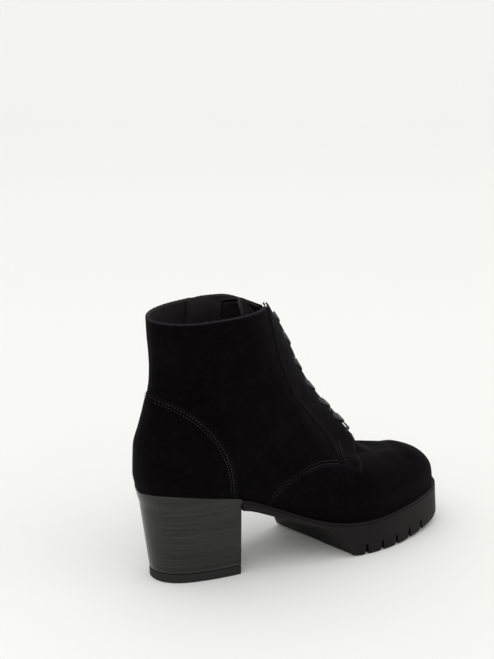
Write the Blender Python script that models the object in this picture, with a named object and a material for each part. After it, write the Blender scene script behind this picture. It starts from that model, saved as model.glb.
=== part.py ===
"""Lace-up ankle boot for the right foot, on a lugged platform sole with a covered block heel.

Metres. +X points to the toe, +Y to the inner (medial) side of the foot, +Z up, floor at z = 0.
The last is a stack of closed level curves. A level runs round the boot from the back seam to the
front ridge; level 0 is the feather line, where the upper meets the sole, and level 1 is the collar.
Every curved piece is worked out from that one surface, at its own depth under or over it.
"""
import bpy
import bmesh
from math import cos, pi, radians, sin, sqrt
from mathutils import Matrix, Vector

# Overall sizes of the last
LENGTH = 0.252            # back of the counter to the toe of the sole
BALL_WIDTH = 0.0835       # upper, across the ball
COLLAR_WIDTH = 0.056      # upper, across the collar
HEEL_WIDTH = 0.0580       # across the heel seat
SWING = 0.006             # how far the front of the last swings to the inner side
COLLAR_HEIGHT = 0.189     # floor to the collar
HEEL_HEIGHT = 0.0633      # floor to the feather line at the back
BALL_HEIGHT = 0.0252      # floor to the feather line at the ball
TOE_HEIGHT = 0.0303       # floor to the feather line at the toe

# Walls and clearances
GAP = 0.0003              # between pieces that touch
FACET_SAG = 0.0004        # how far the wall's facets cut inside its curves
WALL = 0.0018             # suede with its lining
QUARTER_STEP = 0.0009     # quarter over vamp
PANEL_STEP = 0.0008       # counter and eyestay over quarter
INSOLE_THICKNESS = 0.0030
TONGUE_THICKNESS = 0.0024
GUARD_THICKNESS = 0.0012
CUT_REACH = 0.006         # how far a cutter passes the wall it cuts
CUT_OVER = 0.010          # how far it passes the collar

# Outsole
LEDGE = 0.0021            # the sole's rim stands out past the upper
SOLE_FLARE = 0.0012       # the side wall leans out towards the floor
SHANK_THICKNESS = 0.0072
TREAD_REAR = 0.146        # middle of the tread's rear edge, from the back
TREAD_FLAT = 0.030        # length of the flat that stands on the floor
REAR_SKEW = 0.009         # the rear edge lies further forward on the outer side
BEVEL_LENGTH = 0.016      # the rear face of the platform, measured along the sole
TOE_SPRING = 0.0075
SLOT_COUNT = 5
SLOT_PITCH = 0.0136
SLOT_WIDTH = 0.0018
SLOT_HEIGHT = 0.0068
SLOT_DEPTH = 0.013
SLOT_SETBACK = 0.0150     # first slot ahead of the tread's outer rear corner

# Heel block and top lift
BREAST_TOP = 0.0655       # breast at the seat, from the back
BREAST_FOOT = 0.0688      # breast at the lift
HEEL_BACK_FOOT = 0.0125   # back of the lift, from the back of the boot
HEEL_FOOT_WIDTH = 0.0525
HEEL_RIM = 0.0010         # the covered heel stands out past the feather line
LIFT_THICKNESS = 0.0066

# Throat, tongue and laces
THROAT_LEVEL = 0.435
THROAT_FOOT_WIDTH = 0.004
THROAT_TOP_WIDTH = 0.012
THROAT_SLIT = 0.0004      # width at the very foot
EYELET_LEVELS = (0.485, 0.555, 0.630, 0.715, 0.800, 0.880, 0.955)
EYELET_INSET = 0.0055     # eyelet centre from the throat's edge
EYELET_RADIUS = 0.0019
LACE_WIDTH = 0.0066
LACE_THICKNESS = 0.0011
LACE_LIFT = 0.0006        # clear of the eyestay
LACE_UNDER_RISE = 0.0004  # bow of the crossing that lies under
LACE_OVER_RISE = 0.0010   # bow of the one over it
TONGUE_LEVEL = 0.375
TONGUE_WIDTH = 0.040
TONGUE_FOOT_SHARE = 0.62  # width at the foot, share of TONGUE_WIDTH
TONGUE_RISE = 0.003       # tongue's top over the collar
TONGUE_LEAN = 0.0165      # the top leans back into the shaft
TONGUE_LEAN_RISE = (0.45, 1.05)   # where the lean begins and ends, shares of the tongue's height
TONGUE_ROUND = 0.085      # how far, in levels, the tongue's corners drop
OVER_COLLAR = 0.25        # height of one level past the collar, share of COLLAR_HEIGHT

# Zip on the inner side
ZIP_TOP_X = 0.064
ZIP_FOOT_X = 0.083
ZIP_FOOT_HEIGHT = 0.074
ZIP_WIDTH = 0.0056
ZIP_THICKNESS = 0.0012
ZIP_END = 0.0010          # the strip ends this far under the collar
SLIDER_DROP = 0.0085      # slider's middle below the collar
SLIDER_LENGTH = 0.0080
SLIDER_WIDTH = 0.0046
SLIDER_PROUD = 0.0016
BRIDGE_WIDTH = 0.0022
BRIDGE_LENGTH = 0.0046
BRIDGE_HEIGHT = 0.0036
BRIDGE_BORE = 0.0012
BRIDGE_ROOT = 0.0005      # sunk into the slider's body
PULL_WIDTH = 0.0066
PULL_LENGTH = 0.0140
PULL_THICKNESS = 0.0010
PULL_BAR = 0.0011
PULL_WINDOW = 0.0052
PULL_PLAY = 0.0010        # window wider than the bridge
PULL_STAND_OFF = 1.15     # lean of the hanging pull, share of the wall's own
TAB_WIDTH = 0.0086
TAB_LENGTH = 0.0170
TAB_THICKNESS = 0.0026
TAB_OVERLAP = 0.0045
GUARD_BACK_X = 0.056
GUARD_FRONT_X = 0.086
GUARD_FOOT_HEIGHT = 0.105
GUARD_DROP = 0.0012       # its top edge under the collar
GUARD_ROUND = 0.0070      # drop of its rounded front corner

# Levels by which the overlays stop short of the feather line and the collar
QUARTER_INSET = 0.004
PANEL_INSET = 0.007

# Mesh densities
SIDE_STEPS = 24
LEVEL_STEPS = 20

OUTER, INNER = -1, 1      # side of the boot, as the sign of Y

# Feather line seen from the side. x is a share of LENGTH; heel and toe are shares of the rise from
# the ball's height to the heel's and the toe's.
BED_COLUMNS = ("x", "heel", "toe")
BED = (
    (0.000, 1.010, 0.00),
    (0.140, 0.950, 0.00),
    (0.265, 0.870, 0.00),
    (0.360, 0.610, 0.00),
    (0.450, 0.325, 0.00),
    (0.530, 0.120, 0.00),
    (0.610, 0.018, 0.00),
    (0.680, 0.000, 0.00),
    (0.800, 0.000, 0.31),
    (1.000, 0.000, 1.05),
)

# Level curves of the last. back_x and front_x are shares of LENGTH, back_z and front_z shares of the
# rise from the feather line to the collar, and follow says how much of the feather line's dip
# the level repeats. The widths at four stations (see STATIONS) are shares of HEEL_WIDTH (heel),
# COLLAR_WIDTH (waist) and the front width (ball, toe), which goes over from BALL_WIDTH to COLLAR_WIDTH
# with shaft. back_r and front_r are end radii, shares of HEEL_WIDTH and the front width. The shifts
# are shares of SWING.
LEVEL_COLUMNS = ("level", "back_x", "back_z", "front_x", "front_z", "follow", "shaft",
                 "heel", "waist", "ball", "toe", "back_r", "front_r",
                 "heel_shift", "waist_shift", "ball_shift", "toe_shift")
LEVELS = (
    (0.000, 0.024, 0.000, 0.984, 0.000, 1.00, 0.00, 0.95, 1.05, 0.99, 0.66, 0.42, 0.36, 0.0, -0.6, 0.1, 0.5),
    (0.080, 0.010, 0.120, 0.979, 0.074, 0.92, 0.00, 1.02, 1.10, 1.00, 0.65, 0.41, 0.33, 0.0, -0.6, 0.1, 0.5),
    (0.180, 0.011, 0.259, 0.931, 0.155, 0.80, 0.10, 1.05, 1.11, 0.92, 0.53, 0.38, 0.25, 0.0, -0.5, 0.1, 0.5),
    (0.300, 0.027, 0.386, 0.837, 0.194, 0.62, 0.35, 0.97, 1.12, 0.86, 0.42, 0.30, 0.17, 0.0, -0.4, 0.1, 0.5),
    (0.360, 0.036, 0.450, 0.782, 0.200, 0.53, 0.47, 0.91, 1.12, 0.88, 0.41, 0.27, 0.16, 0.0, -0.3, 0.1, 0.4),
    (0.420, 0.044, 0.514, 0.730, 0.250, 0.45, 0.60, 0.85, 1.11, 0.90, 0.42, 0.25, 0.15, 0.0, -0.2, 0.1, 0.4),
    (0.500, 0.052, 0.578, 0.679, 0.331, 0.34, 0.80, 0.78, 1.11, 0.95, 0.46, 0.22, 0.16, 0.0, -0.1, 0.1, 0.4),
    (0.565, 0.057, 0.641, 0.633, 0.410, 0.26, 0.90, 0.75, 1.11, 0.96, 0.47, 0.21, 0.17, 0.0, 0.0, 0.1, 0.3),
    (0.665, 0.059, 0.729, 0.567, 0.527, 0.16, 1.00, 0.71, 1.09, 1.01, 0.52, 0.21, 0.20, 0.0, 0.0, 0.1, 0.3),
    (0.760, 0.057, 0.809, 0.516, 0.647, 0.08, 1.00, 0.69, 1.07, 1.00, 0.54, 0.24, 0.23, -0.1, 0.0, 0.1, 0.3),
    (0.870, 0.053, 0.896, 0.466, 0.817, 0.03, 1.00, 0.67, 1.05, 1.00, 0.56, 0.28, 0.27, -0.2, 0.0, 0.2, 0.4),
    (1.000, 0.050, 1.000, 0.405, 1.000, 0.00, 1.00, 0.67, 1.00, 1.00, 0.62, 0.32, 0.34, -0.3, 0.0, 0.3, 0.5),
)
STATIONS = (0.12, 0.40, 0.70, 0.92)

# Lower edge of the quarter, from the feather line to its front corner. x is a share of LENGTH, z a
# share of COLLAR_HEIGHT.
QUARTER_EDGE = (
    (0.322, 0.225),
    (0.352, 0.305),
    (0.400, 0.358),
    (0.452, 0.387),
    (0.508, 0.394),
    (0.572, 0.372),
    (0.666, 0.312),
)
QUARTER_FRONT = (0.742, 0.425)

# Rear edge of the eyestay, from the collar down to the quarter's lower edge, in the same shares.
EYESTAY_EDGE = (
    (0.378, 1.030),
    (0.389, 0.880),
    (0.408, 0.765),
    (0.440, 0.665),
    (0.482, 0.590),
    (0.526, 0.518),
    (0.566, 0.455),
    (0.583, 0.380),
)
COUNTER_REACH = 0.243     # counter's foot from the back, share of LENGTH
COUNTER_TOP = 0.710       # counter's top at the back seam, share of COLLAR_HEIGHT
COUNTER_BULGE = 1.85      # exponent of the counter's edge


def smooth(xs, ys, x):
    """Monotone cubic through the points (xs, ys), read at x."""
    count = len(xs)
    if x <= xs[0]:
        return ys[0]
    if x >= xs[-1]:
        return ys[-1]
    slopes = [(ys[i + 1] - ys[i]) / (xs[i + 1] - xs[i]) for i in range(count - 1)]
    i = max(k for k in range(count - 1) if xs[k] <= x)

    def tangent(k):
        if k == 0:
            return slopes[0]
        if k == count - 1:
            return slopes[-1]
        before, after = slopes[k - 1], slopes[k]
        return 0.0 if before * after <= 0 else 2 * before * after / (before + after)

    span = xs[i + 1] - xs[i]
    t = (x - xs[i]) / span
    return ((2 * t**3 - 3 * t**2 + 1) * ys[i] + (t**3 - 2 * t**2 + t) * span * tangent(i)
            + (-2 * t**3 + 3 * t**2) * ys[i + 1] + (t**3 - t**2) * span * tangent(i + 1))


def blend(low, high, share):
    return low + (high - low) * share


def ease(x, low, high):
    """0 below low, 1 above high, smooth between."""
    t = min(max((x - low) / (high - low), 0.0), 1.0)
    return t * t * (3 - 2 * t)


def column(table, columns, name):
    k = columns.index(name)
    return [row[k] for row in table]


BED_TABLE = {name: column(BED, BED_COLUMNS, name) for name in BED_COLUMNS}
LEVEL_TABLE = {name: column(LEVELS, LEVEL_COLUMNS, name) for name in LEVEL_COLUMNS}


def bed_height(x):
    """Height of the feather line at x."""
    share = x / LENGTH
    heel = smooth(BED_TABLE["x"], BED_TABLE["heel"], share)
    toe = smooth(BED_TABLE["x"], BED_TABLE["toe"], share)
    return BALL_HEIGHT + heel * (HEEL_HEIGHT - BALL_HEIGHT) + toe * (TOE_HEIGHT - BALL_HEIGHT)


LEVEL_CACHE = {}


def level_row(level):
    """The sizes of one level curve, in metres."""
    key = round(level, 7)
    if key in LEVEL_CACHE:
        return LEVEL_CACHE[key]
    read = {name: smooth(LEVEL_TABLE["level"], LEVEL_TABLE[name], level) for name in LEVEL_COLUMNS}
    front = blend(BALL_WIDTH, COLLAR_WIDTH, read["shaft"])
    back_x, front_x = read["back_x"] * LENGTH, read["front_x"] * LENGTH
    half = (front_x - back_x) / 2
    halves = (read["heel"] * HEEL_WIDTH / 2, read["waist"] * COLLAR_WIDTH / 2,
              read["ball"] * front / 2, read["toe"] * front / 2)
    swell = [half_width / (2 * sqrt(s * (1 - s))) for s, half_width in zip(STATIONS, halves)]
    first_x, last_x = LEVELS[0][1] * LENGTH, LEVELS[0][3] * LENGTH
    row = {
        "back_x": back_x,
        "front_x": front_x,
        "back_z": blend(bed_height(first_x), COLLAR_HEIGHT, read["back_z"]),
        "front_z": blend(bed_height(last_x), COLLAR_HEIGHT, read["front_z"]),
        "follow": read["follow"],
        "stations": (0.0, *STATIONS, 1.0),
        "swell": (sqrt(read["back_r"] * HEEL_WIDTH * half), *swell,
                  sqrt(read["front_r"] * front * half)),
        "shift": (read["heel_shift"] * SWING, read["heel_shift"] * SWING,
                  read["waist_shift"] * SWING, read["ball_shift"] * SWING,
                  read["toe_shift"] * SWING, read["toe_shift"] * SWING),
    }
    LEVEL_CACHE[key] = row
    return row


def bed_dip(s):
    """How far the feather line lies off the straight line between its ends, at share s."""
    first_x, last_x = LEVELS[0][1] * LENGTH, LEVELS[0][3] * LENGTH
    x = blend(first_x, last_x, s)
    return bed_height(x) - blend(bed_height(first_x), bed_height(last_x), s)


def last_point(level, s, side):
    """A point of the last: s runs from 0 at the back seam to 1 at the front ridge."""
    row = level_row(level)
    s = min(max(s, 0.0), 1.0)
    width = 2 * sqrt(s * (1 - s)) * smooth(row["stations"], row["swell"], s)
    y = smooth(row["stations"], row["shift"], s) + side * width
    z = blend(row["back_z"], row["front_z"], s) + row["follow"] * bed_dip(s)
    return Vector((blend(row["back_x"], row["front_x"], s), y, z))


def arc_share(turn):
    """Spreads points evenly round the ends: turn and the result run from 0 to 1."""
    return (1 - cos(pi * turn)) / 2


def last_normal(level, turn, side):
    """Outward normal of the last, level at the feather line and at the collar."""
    step = 0.004
    around = []
    for t in (turn - step, turn + step):
        # past an end the curve goes on along the other side
        inside = min(max(t, -t), 2 - t)
        around.append(last_point(level, arc_share(inside), side if 0 <= t <= 1 else -side))
    low, high = max(level - step, 0.0), min(level + step, 1.0)
    up = last_point(high, arc_share(turn), side) - last_point(low, arc_share(turn), side)
    normal = (around[1] - around[0]).cross(up) * side * -1
    flat = (1 - ease(level, 0.0, 0.05)) + ease(level, 0.95, 1.0)
    normal.normalize()
    normal.z *= 1 - flat
    return normal.normalized()


def skin(level, turn, side, depth=0.0):
    """A point at a depth over (+) or under (-) the last."""
    return last_point(level, arc_share(turn), side) + last_normal(level, turn, side) * depth


def turn_of(s):
    """The inverse of arc_share, by halving."""
    low, high = 0.0, 1.0
    for _ in range(30):
        middle = (low + high) / 2
        low, high = (middle, high) if arc_share(middle) < s else (low, middle)
    return low


def side_point(x, z, side, depth=0.0):
    """The point of the boot's side that is seen at x, z from the side."""
    low, high = 0.0, 1.0
    for _ in range(26):
        level = (low + high) / 2
        row = level_row(level)
        s = (x - row["back_x"]) / (row["front_x"] - row["back_x"])
        s = min(max(s, 0.0), 1.0)
        if last_point(level, s, side).z < z:
            low = level
        else:
            high = level
    return skin(level, turn_of(s), side, depth)


def front_point(level, y, depth=0.0):
    """The point of a level near the ridge that lies y to the side of it."""
    side = INNER if y >= 0 else OUTER
    middle = last_point(level, 1.0, side).y
    low, high = 0.5, 1.0
    for _ in range(26):
        turn = (low + high) / 2
        if abs(last_point(level, arc_share(turn), side).y - middle) > abs(y):
            low = turn
        else:
            high = turn
    return skin(level, turn, side, depth)


def collection_for(name):
    made = bpy.data.collections.new(name)
    bpy.context.scene.collection.children.link(made)
    return made


def mesh_object(name, bm, home):
    """Cleans a bmesh, turns its faces outwards and makes it an object."""
    bmesh.ops.remove_doubles(bm, verts=bm.verts, dist=0.000002)
    bmesh.ops.dissolve_degenerate(bm, edges=bm.edges, dist=0.000001)
    bmesh.ops.recalc_face_normals(bm, faces=bm.faces)
    mesh = bpy.data.meshes.new(name)
    bm.to_mesh(mesh)
    bm.free()
    made = bpy.data.objects.new(name, mesh)
    home.objects.link(made)
    return made


def bridge_rows(bm, first, second):
    """Quads between two chains of vertices."""
    for i in range(len(first) - 1):
        corners = [first[i], first[i + 1], second[i + 1], second[i]]
        if len(set(corners)) >= 3:
            bm.faces.new(corners)


def ladder_solid(name, ladders, home, closed_ring=False):
    """A solid from levels that are each a ladder of (outer side, inner side) point pairs.

    The levels are joined by walls along both sides. The first and last levels are closed by the
    ladder's own rungs, or joined to each other where closed_ring is set.
    """
    bm = bmesh.new()
    outer = [[bm.verts.new(pair[0]) for pair in ladder] for ladder in ladders]
    inner = [[bm.verts.new(pair[1]) for pair in ladder] for ladder in ladders]
    steps = len(ladders) if closed_ring else len(ladders) - 1
    for k in range(steps):
        after = (k + 1) % len(ladders)
        bridge_rows(bm, outer[k], outer[after])
        bridge_rows(bm, inner[after], inner[k])
        for end in (0, -1):
            if (outer[k][end].co - inner[k][end].co).length > 0.00001:
                bridge_rows(bm, [outer[k][end], inner[k][end]], [outer[after][end], inner[after][end]])
    if not closed_ring:
        for k in (0, -1):
            bridge_rows(bm, outer[k], inner[k])
    return mesh_object(name, bm, home)


def sheet_solid(name, front, back, home):
    """A solid between two grids of points of the same size."""
    bm = bmesh.new()
    faces = []
    for grid in (front, back):
        faces.append([[bm.verts.new(p) for p in row] for row in grid])
    for grid in faces:
        for row, after in zip(grid, grid[1:]):
            bridge_rows(bm, row, after)
    near, far = faces
    for k in (0, -1):
        bridge_rows(bm, near[k], far[k])
        bridge_rows(bm, [row[k] for row in near], [row[k] for row in far])
    return mesh_object(name, bm, home)


def prism(name, outline, y_low, y_high, home):
    """A flat outline in x and z, extruded along Y."""
    bm = bmesh.new()
    face = bm.faces.new([bm.verts.new((x, y_low, z)) for x, z in outline])
    grown = bmesh.ops.extrude_face_region(bm, geom=[face])
    moved = [item for item in grown["geom"] if isinstance(item, bmesh.types.BMVert)]
    bmesh.ops.translate(bm, verts=moved, vec=(0, y_high - y_low, 0))
    return mesh_object(name, bm, home)


def block(name, size, centre, home, tilt=0.0):
    """A box of the given size, turned about X by tilt."""
    bm = bmesh.new()
    bmesh.ops.create_cube(bm, size=1.0)
    bmesh.ops.scale(bm, vec=size, verts=bm.verts)
    matrix = Matrix.Translation(centre) @ Matrix.Rotation(tilt, 4, "X")
    bmesh.ops.transform(bm, matrix=matrix, verts=bm.verts)
    return mesh_object(name, bm, home)


def rod(name, start, end, radius, sides, home):
    """A cylinder between two points."""
    along = Vector(end) - Vector(start)
    bm = bmesh.new()
    bmesh.ops.create_cone(bm, cap_ends=True, segments=sides, radius1=radius, radius2=radius,
                          depth=along.length)
    turn = along.to_track_quat("Z", "Y").to_matrix().to_4x4()
    matrix = Matrix.Translation((Vector(start) + Vector(end)) / 2) @ turn
    bmesh.ops.transform(bm, matrix=matrix, verts=bm.verts)
    return mesh_object(name, bm, home)


def combine(target, tool, operation):
    """Applies one Boolean to target and removes the tool."""
    modifier = target.modifiers.new(operation, "BOOLEAN")
    modifier.operation = operation
    modifier.object = tool
    graph = bpy.context.evaluated_depsgraph_get()
    mesh = bpy.data.meshes.new_from_object(target.evaluated_get(graph))
    target.modifiers.remove(modifier)
    target.data = mesh
    bpy.data.objects.remove(tool)
    return target


def tidy(target, merge=0.00002):
    """Removes the slivers that a Boolean leaves."""
    bm = bmesh.new()
    bm.from_mesh(target.data)
    bmesh.ops.remove_doubles(bm, verts=bm.verts, dist=merge)
    bmesh.ops.dissolve_degenerate(bm, edges=bm.edges, dist=merge / 4)
    bmesh.ops.recalc_face_normals(bm, faces=bm.faces)
    bm.to_mesh(target.data)
    bm.free()
    return target


def finish(target, colour, roughness, metallic=0.0, sharp=radians(35)):
    """Gives a piece its material and smooth shading."""
    material = bpy.data.materials.new(target.name)
    material.use_nodes = True
    shader = material.node_tree.nodes["Principled BSDF"]
    shader.inputs["Base Color"].default_value = (*colour, 1.0)
    shader.inputs["Roughness"].default_value = roughness
    shader.inputs["Metallic"].default_value = metallic
    target.data.materials.clear()
    target.data.materials.append(material)
    target.data.shade_smooth()
    target.data.set_sharp_from_angle(angle=sharp)
    return target


def level_ladder(level, depth):
    """One level curve of the boot as a ladder of point pairs."""
    turns = [k / SIDE_STEPS for k in range(SIDE_STEPS + 1)]
    rungs = []
    for turn in turns:
        if turn in (0.0, 1.0):
            middle = (skin(level, turn, OUTER, depth) + skin(level, turn, INNER, depth)) / 2
            rungs.append((middle, middle))
        else:
            rungs.append((skin(level, turn, OUTER, depth), skin(level, turn, INNER, depth)))
    return rungs


def shell(name, outside, inside, low, high, home):
    """The wall of the boot between two depths and two levels."""
    levels = [blend(low, high, k / LEVEL_STEPS) for k in range(LEVEL_STEPS + 1)]
    ladders = [level_ladder(level, outside) for level in levels]
    ladders += [level_ladder(level, inside) for level in reversed(levels)]
    return ladder_solid(name, ladders, home, closed_ring=True)


def shares_to_outline(rows):
    return [(x * LENGTH, z * COLLAR_HEIGHT) for x, z in rows]


def refine(outline, steps):
    """A smooth curve through the outline's points (Catmull-Rom)."""
    points = [Vector(p) for p in outline]
    padded = [2 * points[0] - points[1], *points, 2 * points[-1] - points[-2]]
    curve = []
    for a, b, c, d in zip(padded, padded[1:], padded[2:], padded[3:]):
        for k in range(steps):
            t = k / steps
            curve.append(0.5 * (2 * b + (c - a) * t + (2 * a - 5 * b + 4 * c - d) * t**2
                                + (3 * b - 3 * c + d - a) * t**3))
    curve.append(points[-1])
    return [tuple(p) for p in curve]


def quarter_outline():
    """The quarter seen from the side: behind and above its lower edge and front edge."""
    edge = refine(shares_to_outline(QUARTER_EDGE), 3)
    front = shares_to_outline((QUARTER_FRONT,))
    over = COLLAR_HEIGHT * 1.1
    back = -0.1 * LENGTH
    return [(edge[0][0], 0.0), *edge, *front, (front[0][0], over), (back, over), (back, 0.0)]


def counter_outline():
    """The counter seen from the side: a superellipse from the back seam down to the sole."""
    foot = bed_height(0.0) * 0.9
    reach, rise = COUNTER_REACH * LENGTH, COUNTER_TOP * COLLAR_HEIGHT - foot
    steps = 12
    power = 2 / COUNTER_BULGE
    edge = [(reach * cos(k / steps * pi / 2) ** power, foot + rise * sin(k / steps * pi / 2) ** power)
            for k in range(steps + 1)]
    back = -0.1 * LENGTH
    return [(reach, 0.0), *edge, (back, foot + rise), (back, 0.0)]


def eyestay_outline():
    """The eyestay seen from the side, its front edge just behind the quarter's."""
    inset = PANEL_STEP
    edge = refine(shares_to_outline(EYESTAY_EDGE), 3)
    lower = [p for p in refine(shares_to_outline(QUARTER_EDGE), 3) if p[0] > edge[-1][0]]
    front = shares_to_outline((QUARTER_FRONT,))[0]
    low = [(x - inset, z + inset) for x, z in lower]
    over = COLLAR_HEIGHT * 1.1
    return [*edge[:-1], (edge[-1][0], low[0][1]), *low, (front[0] - inset, front[1]),
            (front[0] - inset, over), (edge[0][0], over)]


def throat_half(level):
    """Half the throat's width at a level, round at its foot."""
    share = min(max((level - THROAT_LEVEL) / (1 - THROAT_LEVEL), 0.0), 1.0)
    straight = blend(THROAT_FOOT_WIDTH, THROAT_TOP_WIDTH, share) / 2
    return straight * sqrt(min(share / 0.03, 1.0)) + THROAT_SLIT / 2


def throat_cutter(home):
    """A thick strip along the ridge, as wide as the throat."""
    rows = 14
    levels = [THROAT_LEVEL + (1 - THROAT_LEVEL) * (k / rows) ** 1.4 for k in range(rows + 1)]
    ladders = []
    for depth in (CUT_REACH, -CUT_REACH):
        ladder = []
        for level in levels:
            middle = skin(level, 1.0, OUTER, depth)
            reach = Vector((0, throat_half(level), 0))
            ladder.append((middle - reach, middle + reach))
        # past the collar
        lift = Vector((0, 0, CUT_OVER))
        ladder.append((ladder[-1][0] + lift, ladder[-1][1] + lift))
        ladders.append(ladder)
    return ladder_solid("throat_cutter", ladders, home)


def zip_x(z):
    """The zip's middle line, seen from the side."""
    share = (z - ZIP_FOOT_HEIGHT) / (COLLAR_HEIGHT - ZIP_FOOT_HEIGHT)
    return blend(ZIP_FOOT_X, ZIP_TOP_X, share)


def zip_cutter(home):
    """The slot for the zip, round at its foot."""
    half = ZIP_WIDTH / 2 + GAP
    foot, top = Vector((ZIP_FOOT_X, ZIP_FOOT_HEIGHT)), Vector((ZIP_TOP_X, COLLAR_HEIGHT))
    along = (top - foot).normalized()
    across = Vector((-along.y, along.x))
    over = top + along * CUT_OVER
    outline = [tuple(over + across * half), tuple(over - across * half)]
    outline += [tuple(foot + half * (-across * cos(pi * k / 6) - along * sin(pi * k / 6)))
                for k in range(7)]
    return prism("zip_cutter", outline, COLLAR_WIDTH * 0.1, COLLAR_WIDTH, home)


def eyelet_points(depth):
    """Rows of (outer side, inner side) eyelet centres, from the throat's foot up."""
    rows = []
    for level in EYELET_LEVELS:
        reach = throat_half(level) + EYELET_INSET
        rows.append((front_point(level, -reach, depth), front_point(level, reach, depth)))
    return rows


def make_upper(home, cutters):
    """One hollow wall with its quarter, counter and eyestay as steps, slit at throat and zip."""
    upper = shell("upper", 0.0, -WALL, 0.0, 1.0, home)
    core = -WALL / 2
    panels = (
        ("quarter", QUARTER_STEP, quarter_outline(), QUARTER_INSET),
        ("counter", QUARTER_STEP + PANEL_STEP, counter_outline(), PANEL_INSET),
        ("eyestay", QUARTER_STEP + PANEL_STEP, eyestay_outline(), PANEL_INSET),
    )
    for name, height, outline, inset in panels:
        piece = shell(name, height, core, inset, 1 - inset, cutters)
        reach = BALL_WIDTH
        combine(piece, prism(name + "_outline", outline, -reach, reach, cutters), "INTERSECT")
        combine(upper, piece, "UNION")
    combine(upper, throat_cutter(cutters), "DIFFERENCE")
    combine(upper, zip_cutter(cutters), "DIFFERENCE")
    for inside, outside in zip(eyelet_points(-CUT_REACH), eyelet_points(CUT_REACH)):
        for start, end in zip(inside, outside):
            combine(upper, rod("eyelet_cutter", start, end, EYELET_RADIUS, 8, cutters), "DIFFERENCE")
    tidy(upper)
    return finish(upper, (0.012, 0.010, 0.011), 0.95)


def tongue_grid(depth):
    """The tongue's surface: rows from under the vamp to over the collar."""
    rows, columns = 14, 10
    grid = []
    for i in range(rows + 1):
        row = []
        for j in range(columns + 1):
            across = 2 * j / columns - 1
            top = 1.0 + TONGUE_RISE / (COLLAR_HEIGHT * OVER_COLLAR) - TONGUE_ROUND * across**2
            level = blend(TONGUE_LEVEL, top, i / rows)
            share = (level - TONGUE_LEVEL) / (1 - TONGUE_LEVEL)
            width = TONGUE_WIDTH * blend(TONGUE_FOOT_SHARE, 1.0, ease(share, 0.0, 0.5)) / 2
            reach = abs(across) * width
            # walk round the ridge by the turn that gives this reach
            side = INNER if across >= 0 else OUTER
            point = round_the_ridge(min(level, 1.0), reach, side, depth)
            point.x -= TONGUE_LEAN * ease(share, *TONGUE_LEAN_RISE)
            point.z += max(level - 1.0, 0.0) * COLLAR_HEIGHT * OVER_COLLAR
            row.append(point)
        grid.append(row)
    return grid


def round_the_ridge(level, reach, side, depth):
    """The point that lies reach from the ridge, measured along the level curve."""
    step = 0.5 / 40
    turn, run = 1.0, 0.0
    before = skin(level, 1.0, side, depth)
    while True:
        here = skin(level, turn - step, side, depth)
        length = (here - before).length
        if run + length >= reach:
            return before + (here - before) * ((reach - run) / length)
        turn, run, before = turn - step, run + length, here


def make_tongue(home):
    outside = -WALL - GAP - FACET_SAG
    tongue = sheet_solid("tongue", tongue_grid(outside), tongue_grid(outside - TONGUE_THICKNESS), home)
    return finish(tongue, (0.014, 0.012, 0.013), 0.95)


def make_insole(home):
    """A footbed inside the feather line."""
    inset = WALL + GAP * 1.5
    seat, top = Vector((0, 0, GAP / 2)), Vector((0, 0, GAP / 2 + INSOLE_THICKNESS))
    rungs = level_ladder(0.0, -inset)
    lower = [(a + seat, b + seat) for a, b in rungs]
    upper = [(a + top, b + top) for a, b in rungs]
    return finish(ladder_solid("insole", [lower, upper], home), (0.030, 0.022, 0.018), 0.8)


def edge_point(x, side, grow):
    """The feather line's edge at x, pushed outwards by grow."""
    row = level_row(0.0)
    reach = (x - row["back_x"]) / (row["front_x"] - row["back_x"])
    return skin(0.0, turn_of(min(max(reach, 0.0), 1.0)), side, grow)


def breast_turn():
    row = level_row(0.0)
    return turn_of((BREAST_TOP - row["back_x"]) / (row["front_x"] - row["back_x"]))


def turns_between(low, high):
    """The level curves' own turns between two turns, each step halved, with both ends."""
    halves = [k / (2 * SIDE_STEPS) for k in range(2 * SIDE_STEPS + 1)]
    spare = 0.1 / SIDE_STEPS
    return [low, *[turn for turn in halves if low + spare < turn < high - spare], high]


def facet_height(x):
    """Height of the upper's faceted lower edge at x, so that what lies under it meets it evenly."""
    turns = [k / SIDE_STEPS for k in range(SIDE_STEPS + 1)]
    xs = [last_point(0.0, arc_share(turn), OUTER).x for turn in turns]
    if x <= xs[0] or x >= xs[-1]:
        return bed_height(x)
    k = max(i for i in range(SIDE_STEPS) if xs[i] <= x)
    return blend(bed_height(xs[k]), bed_height(xs[k + 1]), (x - xs[k]) / (xs[k + 1] - xs[k]))


def tread_height(x):
    """Underside of the sole at a rung whose middle lies at x."""
    shank = bed_height(x) - GAP - SHANK_THICKNESS
    corner = TREAD_REAR - BEVEL_LENGTH
    flat_end = TREAD_REAR + TREAD_FLAT
    if x <= corner:
        return shank
    if x <= TREAD_REAR:
        share = (x - corner) / BEVEL_LENGTH
        return max(bed_height(corner) - GAP - SHANK_THICKNESS, 0.0) * (1 - share**1.35)
    if x <= flat_end:
        return 0.0
    return TOE_SPRING * ((x - flat_end) / (LENGTH - flat_end)) ** 1.6


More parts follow.
